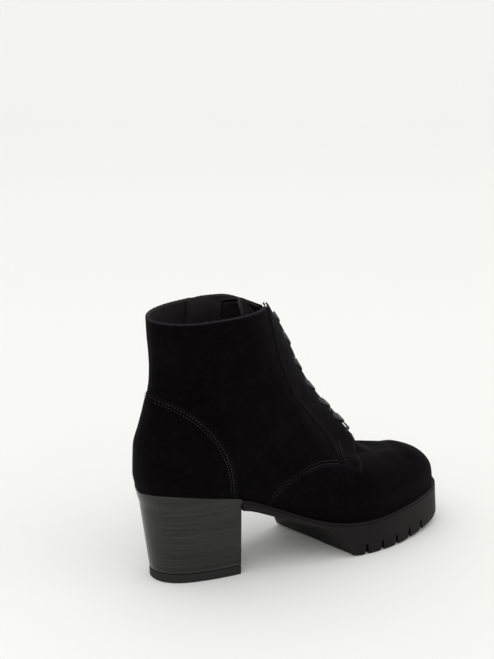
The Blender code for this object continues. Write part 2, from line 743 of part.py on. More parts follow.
def make_outsole(home, cutters):
    """Platform sole: a thin shank behind, a lugged tread in front, and a rim round its top."""
    turns = turns_between(breast_turn(), 1.0)
    rings = []
    # height share, outward growth
    walls = ((1.0, LEDGE), (0.86, LEDGE + SOLE_FLARE * 0.3), (0.5, LEDGE + SOLE_FLARE * 0.6),
             (0.0, LEDGE + SOLE_FLARE))
    for share, grow in walls:
        rungs = []
        for turn in turns:
            pair = []
            for side in (OUTER, INNER):
                top = skin(0.0, turn, side, grow)
                forward = ease(turn, turns[0], turns[0] + 0.25) * (1 - ease(turn, 0.72, 1.0))
                skew = -side * REAR_SKEW * forward * (1 - share)
                foot = edge_point(last_point(0.0, arc_share(turn), side).x + skew, side, grow)
                height = facet_height(top.x) - GAP
                floor = tread_height(foot.x - skew)
                pair.append(Vector((blend(foot.x, top.x, share), blend(foot.y, top.y, share),
                                    blend(floor, height, share))))
            rungs.append(tuple(pair))
        middle = (rungs[-1][0] + rungs[-1][1]) / 2
        rungs[-1] = (middle, middle)
        shift = BREAST_TOP + GAP * 2 - min(rungs[0][0].x, rungs[0][1].x)
        rungs[0] = tuple(p + Vector((shift, 0, 0)) for p in rungs[0])
        rings.append(rungs)
    sole = ladder_solid("outsole", rings, home)
    for side in (OUTER, INNER):
        corner = TREAD_REAR - side * REAR_SKEW
        for k in range(SLOT_COUNT):
            x = corner + SLOT_SETBACK + k * SLOT_PITCH
            edge = edge_point(x, side, LEDGE + SOLE_FLARE)
            foot = tread_height(x + side * REAR_SKEW)
            half = SLOT_WIDTH / 2
            outline = [(x - half * 1.5, foot - CUT_REACH), (x + half * 1.5, foot - CUT_REACH),
                       (x + half * 0.5, foot + SLOT_HEIGHT), (x - half * 0.5, foot + SLOT_HEIGHT)]
            reach = sorted((edge.y - side * SLOT_DEPTH, edge.y + side * CUT_REACH))
            combine(sole, prism("slot", outline, *reach, cutters), "DIFFERENCE")
    tidy(sole)
    return finish(sole, (0.016, 0.015, 0.015), 0.55)


def heel_rungs(height_share, inset=0.0):
    """The heel's plan: rounded back and straight breast. 0 at the lift, 1 at the seat."""
    breast = blend(BREAST_FOOT, BREAST_TOP, height_share)
    end = breast_turn()
    seat_back = skin(0.0, 0.0, OUTER, HEEL_RIM).x
    seat_half = abs(skin(0.0, end, OUTER, HEEL_RIM).y)
    rungs = []
    for turn in turns_between(0.0, end):
        pair = []
        for side in (OUTER, INNER):
            top = skin(0.0, turn, side, HEEL_RIM)
            across = top.y / seat_half
            along = (top.x - seat_back) / (skin(0.0, end, side, HEEL_RIM).x - seat_back)
            width = blend(HEEL_FOOT_WIDTH / 2, seat_half, height_share)
            x = blend(blend(HEEL_BACK_FOOT, seat_back, height_share), breast, along)
            pair.append(Vector((x, across * width, 0.0)))
        if turn == 0.0:
            pair = [(pair[0] + pair[1]) / 2] * 2
        rungs.append(tuple(pair))
    return rungs


def make_heel(home):
    """Covered block: its top follows the seat and its back leans forward to the lift."""
    levels = (0.0, 0.25, 0.5, 0.75, 0.93, 1.0)
    ladders = []
    foot = LIFT_THICKNESS + GAP
    for share in levels:
        rungs = []
        for pair in heel_rungs(share):
            rungs.append(tuple(Vector((p.x, p.y, blend(foot, facet_height(p.x) - GAP, share)))
                               for p in pair))
        ladders.append(rungs)
    return finish(ladder_solid("heel_block", ladders, home), (0.020, 0.019, 0.020), 0.3)


def make_lift(home):
    """Rubber top lift under the heel block."""
    rungs = heel_rungs(0.0)
    ladders = []
    for z in (0.0, LIFT_THICKNESS):
        ladders.append([tuple(Vector((p.x, p.y, z)) for p in pair) for pair in rungs])
    return finish(ladder_solid("heel_lift", ladders, home), (0.012, 0.012, 0.012), 0.7)


def lace_ribbon(name, low, high, rise, home):
    """A flat lace from one eyelet to the next one up on the other side."""
    steps = 10
    level_low, y_low = low
    level_high, y_high = high
    bottom, top = [], []
    for k in range(steps + 1):
        t = k / steps
        level, y = blend(level_low, level_high, t), blend(y_low, y_high, t)
        ends = 1 - ease(abs(2 * t - 1), 0.70, 1.0)
        base = QUARTER_STEP + PANEL_STEP + LACE_LIFT + rise * ends
        half = LACE_WIDTH / 2
        along = (front_point(min(level + 0.02, 1.0), y) - front_point(level - 0.02, y)).normalized()
        for rows, depth in ((bottom, base), (top, base + LACE_THICKNESS)):
            centre = front_point(level, y, depth)
            rows.append([centre - along * half, centre + along * half])
    return sheet_solid(name, top, bottom, home)


def make_laces(home):
    """All crossings of the lace as one joined solid, clear of the eyestays."""
    reach = [throat_half(level) + EYELET_INSET for level in EYELET_LEVELS]
    lace = None
    for k in range(len(EYELET_LEVELS) - 1):
        low, high = EYELET_LEVELS[k], EYELET_LEVELS[k + 1]
        for side, rise in ((OUTER, LACE_UNDER_RISE), (INNER, LACE_OVER_RISE)):
            ribbon = lace_ribbon("lace_part", (low, side * reach[k]), (high, -side * reach[k + 1]),
                                 rise, home)
            if lace is None:
                lace = ribbon
                lace.name = "laces"
            else:
                combine(lace, ribbon, "UNION")
    tidy(lace)
    return finish(lace, (0.05, 0.052, 0.054), 0.7)


def make_zip_strip(home):
    """Tape and teeth in the slot."""
    rows = 16
    half = ZIP_WIDTH / 2
    grids = []
    for depth in (-GAP, -GAP - ZIP_THICKNESS):
        grid = []
        for k in range(rows + 1):
            z = blend(ZIP_FOOT_HEIGHT, COLLAR_HEIGHT - ZIP_END, k / rows)
            grid.append([side_point(zip_x(z) + dx, z, INNER, depth) for dx in (-half, 0.0, half)])
        grids.append(grid)
    return finish(sheet_solid("zip_strip", *grids, home), (0.03, 0.03, 0.032), 0.45, 0.6)


def zip_frame():
    """Where the slider sits: its seat on the strip, and the tilt of the wall below it."""
    z = COLLAR_HEIGHT - SLIDER_DROP
    seat = side_point(zip_x(z), z, INNER)
    foot_z = z - PULL_LENGTH - TAB_LENGTH
    foot = side_point(zip_x(z), foot_z, INNER)
    middle = side_point(zip_x(z), (z + foot_z) / 2, INNER)
    slope = max(foot.y - seat.y, 2 * (middle.y - seat.y), 0.0)
    return seat, slope / (z - foot_z)


def hinge_point():
    """The pull's axis, through the slider's bridge."""
    seat, _ = zip_frame()
    return seat + Vector((0, QUARTER_STEP + SLIDER_PROUD + BRIDGE_HEIGHT / 2, 0))


def make_slider(home, cutters):
    """Slider with the bridge that carries the pull."""
    seat, _ = zip_frame()
    inside = seat.y + GAP
    outside = seat.y + QUARTER_STEP + SLIDER_PROUD
    slider = block("zip_slider", (SLIDER_WIDTH, outside - inside, SLIDER_LENGTH),
                   (seat.x, (inside + outside) / 2, seat.z), home)
    axis = hinge_point()
    bridge = block("bridge", (BRIDGE_WIDTH, BRIDGE_HEIGHT + BRIDGE_ROOT, BRIDGE_LENGTH),
                   (axis.x, axis.y - BRIDGE_ROOT / 2, axis.z), cutters)
    combine(slider, bridge, "UNION")
    span = Vector((BRIDGE_WIDTH, 0, 0))
    combine(slider, rod("bore", axis - span, axis + span, BRIDGE_BORE, 12, cutters), "DIFFERENCE")
    return finish(slider, (0.35, 0.34, 0.33), 0.3, 1.0)


def make_pull(home, cutters):
    """Metal pull with a window round the bridge, and its suede tab; both turn on the axis."""
    axis = hinge_point()
    _, slope = zip_frame()
    turn = Matrix.Rotation(slope * PULL_STAND_OFF, 4, "X")
    pull = block("zip_pull", (PULL_WIDTH, PULL_THICKNESS, PULL_LENGTH),
                 (0, 0, PULL_BAR / 2 - PULL_LENGTH / 2), home)
    window = block("window", (BRIDGE_WIDTH + PULL_PLAY, PULL_THICKNESS * 3, PULL_WINDOW),
                   (0, 0, -PULL_BAR / 2 - PULL_WINDOW / 2), cutters)
    combine(pull, window, "DIFFERENCE")
    top = PULL_BAR / 2 - PULL_LENGTH + TAB_OVERLAP
    tab = block("zip_tab", (TAB_WIDTH, TAB_THICKNESS, TAB_LENGTH), (0, 0, top - TAB_LENGTH / 2), home)
    pocket = block("pocket", (PULL_WIDTH + 2 * GAP, PULL_THICKNESS + 2 * GAP, 2 * (TAB_OVERLAP + GAP)),
                   (0, 0, top), cutters)
    combine(tab, pocket, "DIFFERENCE")
    for piece in (pull, tab):
        piece.data.transform(turn)
        piece.location = axis
    finish(pull, (0.35, 0.34, 0.33), 0.3, 1.0)
    finish(tab, (0.014, 0.012, 0.013), 0.95)
    return pull, tab


def make_zip_guard(home):
    """Leather flap behind the zip, with its top corner rounded off."""
    rows, columns = 8, 6
    grids = []
    outside = -WALL - GAP - FACET_SAG
    for depth in (outside, outside - GUARD_THICKNESS):
        grid = []
        for i in range(rows + 1):
            row = []
            for j in range(columns + 1):
                across = j / columns
                x = blend(GUARD_BACK_X, GUARD_FRONT_X, across)
                top = COLLAR_HEIGHT - GUARD_DROP - GUARD_ROUND * max(2 * across - 1, 0.0) ** 2
                z = blend(GUARD_FOOT_HEIGHT, top, i / rows)
                row.append(side_point(x, z, INNER, depth))
            grid.append(row)
        grids.append(grid)
    return finish(sheet_solid("zip_guard", *grids, home), (0.045, 0.032, 0.026), 0.8)


def centre(root, pieces):
    """Puts the middle of the boot's footprint at the origin."""
    bpy.context.view_layer.update()
    corners = [piece.matrix_world @ vertex.co for piece in pieces for vertex in piece.data.vertices]
    for axis in (0, 1):
        values = [corner[axis] for corner in corners]
        root.location[axis] = -(min(values) + max(values)) / 2


def build():
    for item in list(bpy.data.objects):
        bpy.data.objects.remove(item)
    home, cutters = collection_for("ankle_boot"), collection_for("cutters")
    pieces = [make_outsole(home, cutters), make_heel(home), make_lift(home), make_insole(home),
              make_upper(home, cutters), make_tongue(home), make_laces(home), make_zip_strip(home),
              make_slider(home, cutters), *make_pull(home, cutters), make_zip_guard(home)]
    root = bpy.data.objects.new("boot", None)
    home.objects.link(root)
    for piece in pieces:
        piece.parent = root
    centre(root, pieces)


build()
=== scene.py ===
"""Looks of the lace-up ankle boot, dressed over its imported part.

Every piece is made in metres in the last's own frame, with the floor at z = 0, the back of the boot
near x = 0, +X to the toe and +Y to the inner side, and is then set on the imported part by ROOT.
"""

from math import cos, pi, radians, sin, sqrt

import bmesh
import bpy
import numpy as np
from mathutils import Matrix, Vector
from mathutils.kdtree import KDTree


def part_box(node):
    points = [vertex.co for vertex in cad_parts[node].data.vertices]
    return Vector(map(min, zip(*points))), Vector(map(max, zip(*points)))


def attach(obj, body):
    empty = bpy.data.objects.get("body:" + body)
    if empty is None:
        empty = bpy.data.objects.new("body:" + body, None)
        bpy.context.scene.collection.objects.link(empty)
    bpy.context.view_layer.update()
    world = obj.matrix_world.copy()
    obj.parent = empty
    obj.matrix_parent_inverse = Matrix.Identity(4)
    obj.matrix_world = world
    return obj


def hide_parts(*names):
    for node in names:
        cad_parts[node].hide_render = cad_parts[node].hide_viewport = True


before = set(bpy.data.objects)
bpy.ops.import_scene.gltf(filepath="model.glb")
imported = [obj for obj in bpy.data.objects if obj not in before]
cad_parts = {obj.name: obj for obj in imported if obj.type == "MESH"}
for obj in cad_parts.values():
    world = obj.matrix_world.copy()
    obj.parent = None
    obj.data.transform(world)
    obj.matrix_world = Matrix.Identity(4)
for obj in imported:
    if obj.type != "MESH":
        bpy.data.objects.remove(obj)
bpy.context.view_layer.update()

# Sizes of the last and of the pieces that lie on it

LENGTH = 0.252            # back of the counter to the toe of the sole
BALL_WIDTH = 0.0835       # upper, across the ball
COLLAR_WIDTH = 0.056      # upper, across the collar
HEEL_WIDTH = 0.0580       # across the heel seat
SWING = 0.006             # how far the front of the last swings to the inner side
COLLAR_HEIGHT = 0.189     # floor to the collar
HEEL_HEIGHT = 0.0633      # floor to the feather line at the back
BALL_HEIGHT = 0.0252      # floor to the feather line at the ball
TOE_HEIGHT = 0.0303       # floor to the feather line at the toe
GAP = 0.0003              # between pieces that touch
WALL = 0.0018             # suede with its lining
QUARTER_STEP = 0.0009     # quarter over vamp
PANEL_STEP = 0.0008       # counter and eyestay over quarter
INSOLE_THICKNESS = 0.0030
TONGUE_THICKNESS = 0.0024
GUARD_THICKNESS = 0.0012
LEDGE = 0.0021            # the sole's rim stands out past the upper
SOLE_FLARE = 0.0012       # the side wall leans out towards the floor
SHANK_THICKNESS = 0.0072
TREAD_REAR = 0.146        # middle of the tread's rear edge, from the back
TREAD_FLAT = 0.030        # length of the flat that stands on the floor
REAR_SKEW = 0.009         # the rear edge lies further forward on the outer side
BEVEL_LENGTH = 0.016      # the rear face of the platform, measured along the sole
TOE_SPRING = 0.0075
SLOT_COUNT = 5
SLOT_PITCH = 0.0140
SLOT_WIDTH = 0.0021
SLOT_HEIGHT = 0.0082
SLOT_DEPTH = 0.013
SLOT_SETBACK = 0.0086     # first slot ahead of the tread's outer rear corner
BREAST_TOP = 0.0655       # breast at the seat, from the back
BREAST_FOOT = 0.0688      # breast at the lift
HEEL_BACK_FOOT = 0.0125   # back of the lift, from the back of the boot
HEEL_FOOT_WIDTH = 0.0525
HEEL_RIM = 0.0010         # the covered heel stands out past the feather line
LIFT_THICKNESS = 0.0066
THROAT_LEVEL = 0.435
THROAT_FOOT_WIDTH = 0.004
THROAT_TOP_WIDTH = 0.009
THROAT_SLIT = 0.0004      # width at the very foot
EYELET_LEVELS = (0.485, 0.555, 0.630, 0.715, 0.800, 0.880, 0.955)
EYELET_INSET = 0.0055     # eyelet centre from the throat's edge
EYELET_RADIUS = 0.0019
LACE_WIDTH = 0.0066
LACE_THICKNESS = 0.0011
TONGUE_LEVEL = 0.375
TONGUE_WIDTH = 0.040
TONGUE_FOOT_SHARE = 0.62  # width at the foot, share of TONGUE_WIDTH
TONGUE_RISE = 0.003       # tongue's top over the collar
TONGUE_LEAN = 0.0165      # the top leans back into the shaft
OVER_COLLAR = 0.25        # height of one level past the collar, share of COLLAR_HEIGHT
ZIP_TOP_X = 0.064
ZIP_FOOT_X = 0.083
ZIP_FOOT_HEIGHT = 0.074
ZIP_WIDTH = 0.0056
ZIP_END = 0.0010          # the strip ends this far under the collar
SLIDER_DROP = 0.0085      # slider's middle below the collar
SLIDER_PROUD = 0.0016
BRIDGE_HEIGHT = 0.0036
PULL_LENGTH = 0.0140
PULL_BAR = 0.0011
PULL_STAND_OFF = 1.15     # lean of the hanging pull, share of the wall's own
TAB_WIDTH = 0.0086
TAB_LENGTH = 0.0170
TAB_THICKNESS = 0.0026
TAB_OVERLAP = 0.0045
GUARD_BACK_X = 0.056
GUARD_FRONT_X = 0.086
GUARD_FOOT_HEIGHT = 0.105
GUARD_DROP = 0.0012       # its top edge under the collar
GUARD_ROUND = 0.0070      # drop of its rounded front corner
SIDE_STEPS = 40           # steps of a level curve, from the back seam to the ridge
OUTER, INNER = -1, 1      # side of the boot, as the sign of Y

# Feather line seen from the side. x is a share of LENGTH; heel and toe are shares of the rise from
# the ball's height to the heel's and the toe's.
BED_COLUMNS = ("x", "heel", "toe")
BED = (
    (0.000, 1.010, 0.00),
    (0.140, 0.950, 0.00),
    (0.265, 0.870, 0.00),
    (0.360, 0.610, 0.00),
    (0.450, 0.325, 0.00),
    (0.530, 0.120, 0.00),
    (0.610, 0.018, 0.00),
    (0.680, 0.000, 0.00),
    (0.800, 0.000, 0.31),
    (1.000, 0.000, 1.05),
)

# Level curves of the last. back_x and front_x are shares of LENGTH, back_z and front_z shares of the
# rise from the feather line to the collar. follow says how much of the feather line's dip a level
# repeats. The widths stand at STATIONS, the radii at both ends, and the shifts are shares of SWING.
LEVEL_COLUMNS = ("level", "back_x", "back_z", "front_x", "front_z", "follow", "shaft",
                 "heel", "waist", "ball", "toe", "back_r", "front_r",
                 "heel_shift", "waist_shift", "ball_shift", "toe_shift")
LEVELS = (
    (0.000, 0.024, 0.000, 0.984, 0.000, 1.00, 0.00, 0.95, 1.05, 0.99, 0.66, 0.42, 0.36, 0.0, -0.6, 0.1, 0.5),
    (0.080, 0.010, 0.120, 0.979, 0.074, 0.92, 0.00, 1.02, 1.10, 1.00, 0.65, 0.41, 0.33, 0.0, -0.6, 0.1, 0.5),
    (0.180, 0.011, 0.259, 0.931, 0.155, 0.80, 0.10, 1.05, 1.11, 0.92, 0.53, 0.38, 0.25, 0.0, -0.5, 0.1, 0.5),
    (0.300, 0.027, 0.386, 0.837, 0.194, 0.62, 0.35, 0.97, 1.12, 0.86, 0.42, 0.30, 0.17, 0.0, -0.4, 0.1, 0.5),
    (0.360, 0.036, 0.450, 0.782, 0.200, 0.53, 0.47, 0.91, 1.12, 0.88, 0.41, 0.27, 0.16, 0.0, -0.3, 0.1, 0.4),
    (0.420, 0.044, 0.514, 0.730, 0.250, 0.45, 0.60, 0.85, 1.11, 0.90, 0.42, 0.25, 0.15, 0.0, -0.2, 0.1, 0.4),
    (0.500, 0.052, 0.578, 0.679, 0.331, 0.34, 0.80, 0.78, 1.11, 0.95, 0.46, 0.22, 0.16, 0.0, -0.1, 0.1, 0.4),
    (0.565, 0.057, 0.641, 0.633, 0.410, 0.26, 0.90, 0.75, 1.11, 0.96, 0.47, 0.21, 0.17, 0.0, 0.0, 0.1, 0.3),
    (0.665, 0.059, 0.729, 0.567, 0.527, 0.16, 1.00, 0.71, 1.09, 1.01, 0.52, 0.21, 0.20, 0.0, 0.0, 0.1, 0.3),
    (0.760, 0.057, 0.809, 0.516, 0.647, 0.08, 1.00, 0.69, 1.07, 1.00, 0.54, 0.24, 0.23, -0.1, 0.0, 0.1, 0.3),
    (0.870, 0.053, 0.896, 0.466, 0.817, 0.03, 1.00, 0.67, 1.05, 1.00, 0.56, 0.28, 0.27, -0.2, 0.0, 0.2, 0.4),
    (1.000, 0.050, 1.000, 0.405, 1.000, 0.00, 1.00, 0.67, 1.00, 1.00, 0.62, 0.32, 0.34, -0.3, 0.0, 0.3, 0.5),
)
STATIONS = (0.12, 0.40, 0.70, 0.92)

# Lower edge of the quarter and rear edge of the eyestay: x as a share of LENGTH, z of COLLAR_HEIGHT
QUARTER_EDGE = (
    (0.330, 0.222),
    (0.362, 0.290),
    (0.410, 0.338),
    (0.458, 0.364),
    (0.511, 0.372),
    (0.576, 0.354),
    (0.649, 0.312),
)
QUARTER_FRONT = (0.727, 0.425)
EYESTAY_EDGE = (
    (0.378, 1.030),
    (0.389, 0.880),
    (0.408, 0.765),
    (0.440, 0.665),
    (0.482, 0.590),
    (0.526, 0.518),
    (0.566, 0.455),
    (0.583, 0.380),
)
COUNTER_REACH = 0.243     # counter's foot from the back, share of LENGTH
COUNTER_TOP = 0.728       # counter's top at the back seam, share of COLLAR_HEIGHT
COUNTER_BULGE = 1.92      # exponent of the counter's edge
SEARCH_STEPS = 26         # halvings that find a point on the wall
PROBE = 0.001             # depth between two points that give the wall's normal
WELD, SLIVER = 0.000004, 0.000001   # nearer points are joined, shorter edges dissolved
COLLAR_POINTS, THROAT_POINTS = 300, 400
TOP_ENDS = (0.012, 0.0085, 0.005, 0.0022, 0.0007)    # last steps of the grid, towards the collar
SIDE_ENDS = (0.009, 0.006, 0.0035, 0.0016, 0.0005)   # and towards the throat
STITCH_ROWS = (0.0017, 0.0037)   # rows of stitches, from the edge of the layer
STITCH_PITCH, THREAD_RADIUS = 0.0023, 0.00022
FOOTBED_STEPS = 72
LINING_ROWS, LINING_COLUMNS = 70, 80
SLOT_SHAPE = ((3.4, -0.3), (2.3, 0.03), (1.7, 0.16), (1.25, 0.38), (1.0, 0.70), (0.8, 0.93), (0.0, 1.0))
GROOVE_FOOT, GROOVE_TOP = 0.0011, 0.0006   # half widths of the grooves across the tread
GROOVE_SUNK, GROOVE_DEPTH, GROOVE_REACH = 0.003, 0.0016, 0.022
EYELET_SINK = 0.0026      # depth of a punched eyelet
LACE_SINK = 0.0030        # how far a lace's ends dip into the eyelets
ZIP_GROOVE = 0.0015       # depth of the groove that holds the tape
TOOTH_PITCH, TOOTH_OFFSET, TOOTH_HEIGHT = 0.0015, 0.0007, 0.0010
TOOTH_LENGTH, TOOTH_WIDTH = 0.0012, 0.00042   # half measures of a tooth's foot


def smooth(xs, ys, x):
    """Monotone cubic through the points (xs, ys), read at x."""
    count = len(xs)
    if x <= xs[0]:
        return ys[0]
    if x >= xs[-1]:
        return ys[-1]
    slopes = [(ys[i + 1] - ys[i]) / (xs[i + 1] - xs[i]) for i in range(count - 1)]
    i = max(k for k in range(count - 1) if xs[k] <= x)

    def tangent(k):
        if k == 0:
            return slopes[0]
        if k == count - 1:
            return slopes[-1]
        before, after = slopes[k - 1], slopes[k]
        return 0.0 if before * after <= 0 else 2 * before * after / (before + after)

    span = xs[i + 1] - xs[i]
    t = (x - xs[i]) / span
    return ((2 * t**3 - 3 * t**2 + 1) * ys[i] + (t**3 - 2 * t**2 + t) * span * tangent(i)
            + (-2 * t**3 + 3 * t**2) * ys[i + 1] + (t**3 - t**2) * span * tangent(i + 1))


def blend(low, high, share):
    return low + (high - low) * share


def ease(x, low, high):
    """0 below low, 1 above high, smooth between."""
    t = min(max((x - low) / (high - low), 0.0), 1.0)
    return t * t * (3 - 2 * t)


def column(table, columns, name):
    k = columns.index(name)
    return [row[k] for row in table]


BED_TABLE = {name: column(BED, BED_COLUMNS, name) for name in BED_COLUMNS}
LEVEL_TABLE = {name: column(LEVELS, LEVEL_COLUMNS, name) for name in LEVEL_COLUMNS}
LEVEL_CACHE = {}


def bed_height(x):
    """Height of the feather line at x."""
    share = x / LENGTH
    heel = smooth(BED_TABLE["x"], BED_TABLE["heel"], share)
    toe = smooth(BED_TABLE["x"], BED_TABLE["toe"], share)
    return BALL_HEIGHT + heel * (HEEL_HEIGHT - BALL_HEIGHT) + toe * (TOE_HEIGHT - BALL_HEIGHT)


def level_row(level):
    """The sizes of one level curve, in metres."""
    key = round(level, 7)
    if key in LEVEL_CACHE:
        return LEVEL_CACHE[key]
    read = {name: smooth(LEVEL_TABLE["level"], LEVEL_TABLE[name], level) for name in LEVEL_COLUMNS}
    front = blend(BALL_WIDTH, COLLAR_WIDTH, read["shaft"])
    back_x, front_x = read["back_x"] * LENGTH, read["front_x"] * LENGTH
    half = (front_x - back_x) / 2
    halves = (read["heel"] * HEEL_WIDTH / 2, read["waist"] * COLLAR_WIDTH / 2,
              read["ball"] * front / 2, read["toe"] * front / 2)
    swell = [half_width / (2 * sqrt(s * (1 - s))) for s, half_width in zip(STATIONS, halves)]
    first_x, last_x = LEVELS[0][1] * LENGTH, LEVELS[0][3] * LENGTH
    row = {
        "back_x": back_x,
        "front_x": front_x,
        "back_z": blend(bed_height(first_x), COLLAR_HEIGHT, read["back_z"]),
        "front_z": blend(bed_height(last_x), COLLAR_HEIGHT, read["front_z"]),
        "follow": read["follow"],
        "stations": (0.0, *STATIONS, 1.0),
        "swell": (sqrt(read["back_r"] * HEEL_WIDTH * half), *swell,
                  sqrt(read["front_r"] * front * half)),
        "shift": (read["heel_shift"] * SWING, read["heel_shift"] * SWING,
                  read["waist_shift"] * SWING, read["ball_shift"] * SWING,
                  read["toe_shift"] * SWING, read["toe_shift"] * SWING),
    }
    LEVEL_CACHE[key] = row
    return row


def bed_dip(s):
    """How far the feather line lies off the straight line between its ends, at share s."""
    first_x, last_x = LEVELS[0][1] * LENGTH, LEVELS[0][3] * LENGTH
    x = blend(first_x, last_x, s)
    return bed_height(x) - blend(bed_height(first_x), bed_height(last_x), s)


def last_point(level, s, side):
    """A point of the last: s runs from 0 at the back seam to 1 at the front ridge."""
    row = level_row(level)
    s = min(max(s, 0.0), 1.0)
    width = 2 * sqrt(s * (1 - s)) * smooth(row["stations"], row["swell"], s)
    y = smooth(row["stations"], row["shift"], s) + side * width
    z = blend(row["back_z"], row["front_z"], s) + row["follow"] * bed_dip(s)
    return Vector((blend(row["back_x"], row["front_x"], s), y, z))


def arc_share(turn):
    """Spreads points evenly round the ends: turn and the result run from 0 to 1."""
    return (1 - cos(pi * turn)) / 2


def last_normal(level, turn, side):
    """Outward normal of the last, level at the feather line and at the collar."""
    step = 0.004
    around = []
    for t in (turn - step, turn + step):
        # past an end the curve goes on along the other side
        inside = min(max(t, -t), 2 - t)
        around.append(last_point(level, arc_share(inside), side if 0 <= t <= 1 else -side))
    low, high = max(level - step, 0.0), min(level + step, 1.0)
    up = last_point(high, arc_share(turn), side) - last_point(low, arc_share(turn), side)
    normal = (around[1] - around[0]).cross(up) * side * -1
    flat = (1 - ease(level, 0.0, 0.05)) + ease(level, 0.95, 1.0)
    normal.normalize()
    normal.z *= 1 - flat
    return normal.normalized()


def skin(level, turn, side, depth=0.0):
    """A point at a depth over (+) or under (-) the last."""
    return last_point(level, arc_share(turn), side) + last_normal(level, turn, side) * depth


def halve(low, high, steps, below):
    """Halves the way to the value at which below stops being true."""
    for _ in range(steps):
        middle = (low + high) / 2
        low, high = (middle, high) if below(middle) else (low, middle)
    return low


def turn_of(s):
    """The inverse of arc_share."""
    return halve(0.0, 1.0, 30, lambda turn: arc_share(turn) < s)


def side_point(x, z, side, depth=0.0):
    """The point of the boot's side that is seen at x, z from the side."""
    def share(level):
        row = level_row(level)
        return min(max((x - row["back_x"]) / (row["front_x"] - row["back_x"]), 0.0), 1.0)

    level = halve(0.0, 1.0, SEARCH_STEPS, lambda level: last_point(level, share(level), side).z < z)
    return skin(level, turn_of(share(level)), side, depth)


def ridge_turn(level, reach, side):
    """The turn at which a level curve lies reach to the side of its ridge."""
    middle = last_point(level, 1.0, side).y
    return halve(0.5, 1.0, SEARCH_STEPS,
                 lambda turn: abs(last_point(level, arc_share(turn), side).y - middle) > reach)


def front_point(level, y, depth=0.0):
    """The point of a level near the ridge that lies y to the side of it."""
    side = INNER if y >= 0 else OUTER
    return skin(level, ridge_turn(level, abs(y), side), side, depth)


def wall_normal(x, z, side, middle=0.0):
    """A point of the side wall, and the wall's outward normal there."""
    low, high = side_point(x, z, side, middle - PROBE), side_point(x, z, side, middle)
    return high, (high - low).normalized()


def shares_to_outline(rows):
    return [(x * LENGTH, z * COLLAR_HEIGHT) for x, z in rows]


def refine(outline, steps):
    """A smooth curve through the outline's points (Catmull-Rom)."""
    points = [Vector(p) for p in outline]
    padded = [2 * points[0] - points[1], *points, 2 * points[-1] - points[-2]]
    curve = []
    for a, b, c, d in zip(padded, padded[1:], padded[2:], padded[3:]):
        for k in range(steps):
            t = k / steps
            curve.append(0.5 * (2 * b + (c - a) * t + (2 * a - 5 * b + 4 * c - d) * t**2
                                + (3 * b - 3 * c + d - a) * t**3))
    curve.append(points[-1])
    return [tuple(p) for p in curve]


def quarter_outline():
    """The quarter seen from the side: behind and above its lower edge and front edge."""
    edge = refine(shares_to_outline(QUARTER_EDGE), 3)
    front = shares_to_outline((QUARTER_FRONT,))
    over = COLLAR_HEIGHT * 1.1
    back = -0.1 * LENGTH
    return [(edge[0][0], 0.0), *edge, *front, (front[0][0], over), (back, over), (back, 0.0)]


def counter_outline():
    """The counter seen from the side: a superellipse from the back seam down to the sole."""
    foot = bed_height(0.0) * 0.9
    reach, rise = COUNTER_REACH * LENGTH, COUNTER_TOP * COLLAR_HEIGHT - foot
    steps = 12
    power = 2 / COUNTER_BULGE
    edge = [(reach * cos(k / steps * pi / 2) ** power, foot + rise * sin(k / steps * pi / 2) ** power)
            for k in range(steps + 1)]
    back = -0.1 * LENGTH
    return [(reach, 0.0), *edge, (back, foot + rise), (back, 0.0)]


def eyestay_outline():
    """The eyestay seen from the side, its front edge just behind the quarter's."""
    inset = PANEL_STEP
    edge = refine(shares_to_outline(EYESTAY_EDGE), 3)
    lower = [p for p in refine(shares_to_outline(QUARTER_EDGE), 3) if p[0] > edge[-1][0]]
    front = shares_to_outline((QUARTER_FRONT,))[0]
    low = [(x - inset, z + inset) for x, z in lower]
    over = COLLAR_HEIGHT * 1.1
    return [*edge[:-1], (edge[-1][0], low[0][1]), *low, (front[0] - inset, front[1]),
            (front[0] - inset, over), (edge[0][0], over)]


def throat_half(level):
    """Half the throat's width at a level, round at its foot."""
    share = min(max((level - THROAT_LEVEL) / (1 - THROAT_LEVEL), 0.0), 1.0)
    straight = blend(THROAT_FOOT_WIDTH, THROAT_TOP_WIDTH, share) / 2
    return straight * sqrt(min(share / 0.03, 1.0)) + THROAT_SLIT / 2


def zip_x(z):
    """The zip's middle line, seen from the side."""
    share = (z - ZIP_FOOT_HEIGHT) / (COLLAR_HEIGHT - ZIP_FOOT_HEIGHT)
    return blend(ZIP_FOOT_X, ZIP_TOP_X, share)


def round_the_ridge(level, reach, side, depth):
    """The point that lies reach from the ridge, measured along the level curve."""
    step = 0.5 / 40
    turn, run = 1.0, 0.0
    before = skin(level, 1.0, side, depth)
    while True:
        here = skin(level, turn - step, side, depth)
        length = (here - before).length
        if run + length >= reach:
            return before + (here - before) * ((reach - run) / length)
        turn, run, before = turn - step, run + length, here


def edge_point(x, side, grow):
    """The feather line's edge at x, pushed outwards by grow."""
    row = level_row(0.0)
    reach = (x - row["back_x"]) / (row["front_x"] - row["back_x"])
    return skin(0.0, turn_of(min(max(reach, 0.0), 1.0)), side, grow)


def breast_turn():
    row = level_row(0.0)
    return turn_of((BREAST_TOP - row["back_x"]) / (row["front_x"] - row["back_x"]))


def tread_height(x):
    """Underside of the sole at a rung whose middle lies at x."""
    shank = bed_height(x) - GAP - SHANK_THICKNESS
    corner = TREAD_REAR - BEVEL_LENGTH
    flat_end = TREAD_REAR + TREAD_FLAT
    if x <= corner:
        return shank
    if x <= TREAD_REAR:
        share = (x - corner) / BEVEL_LENGTH
        return max(bed_height(corner) - GAP - SHANK_THICKNESS, 0.0) * (1 - share**1.35)
    if x <= flat_end:
        return 0.0
    return TOE_SPRING * ((x - flat_end) / (LENGTH - flat_end)) ** 1.6


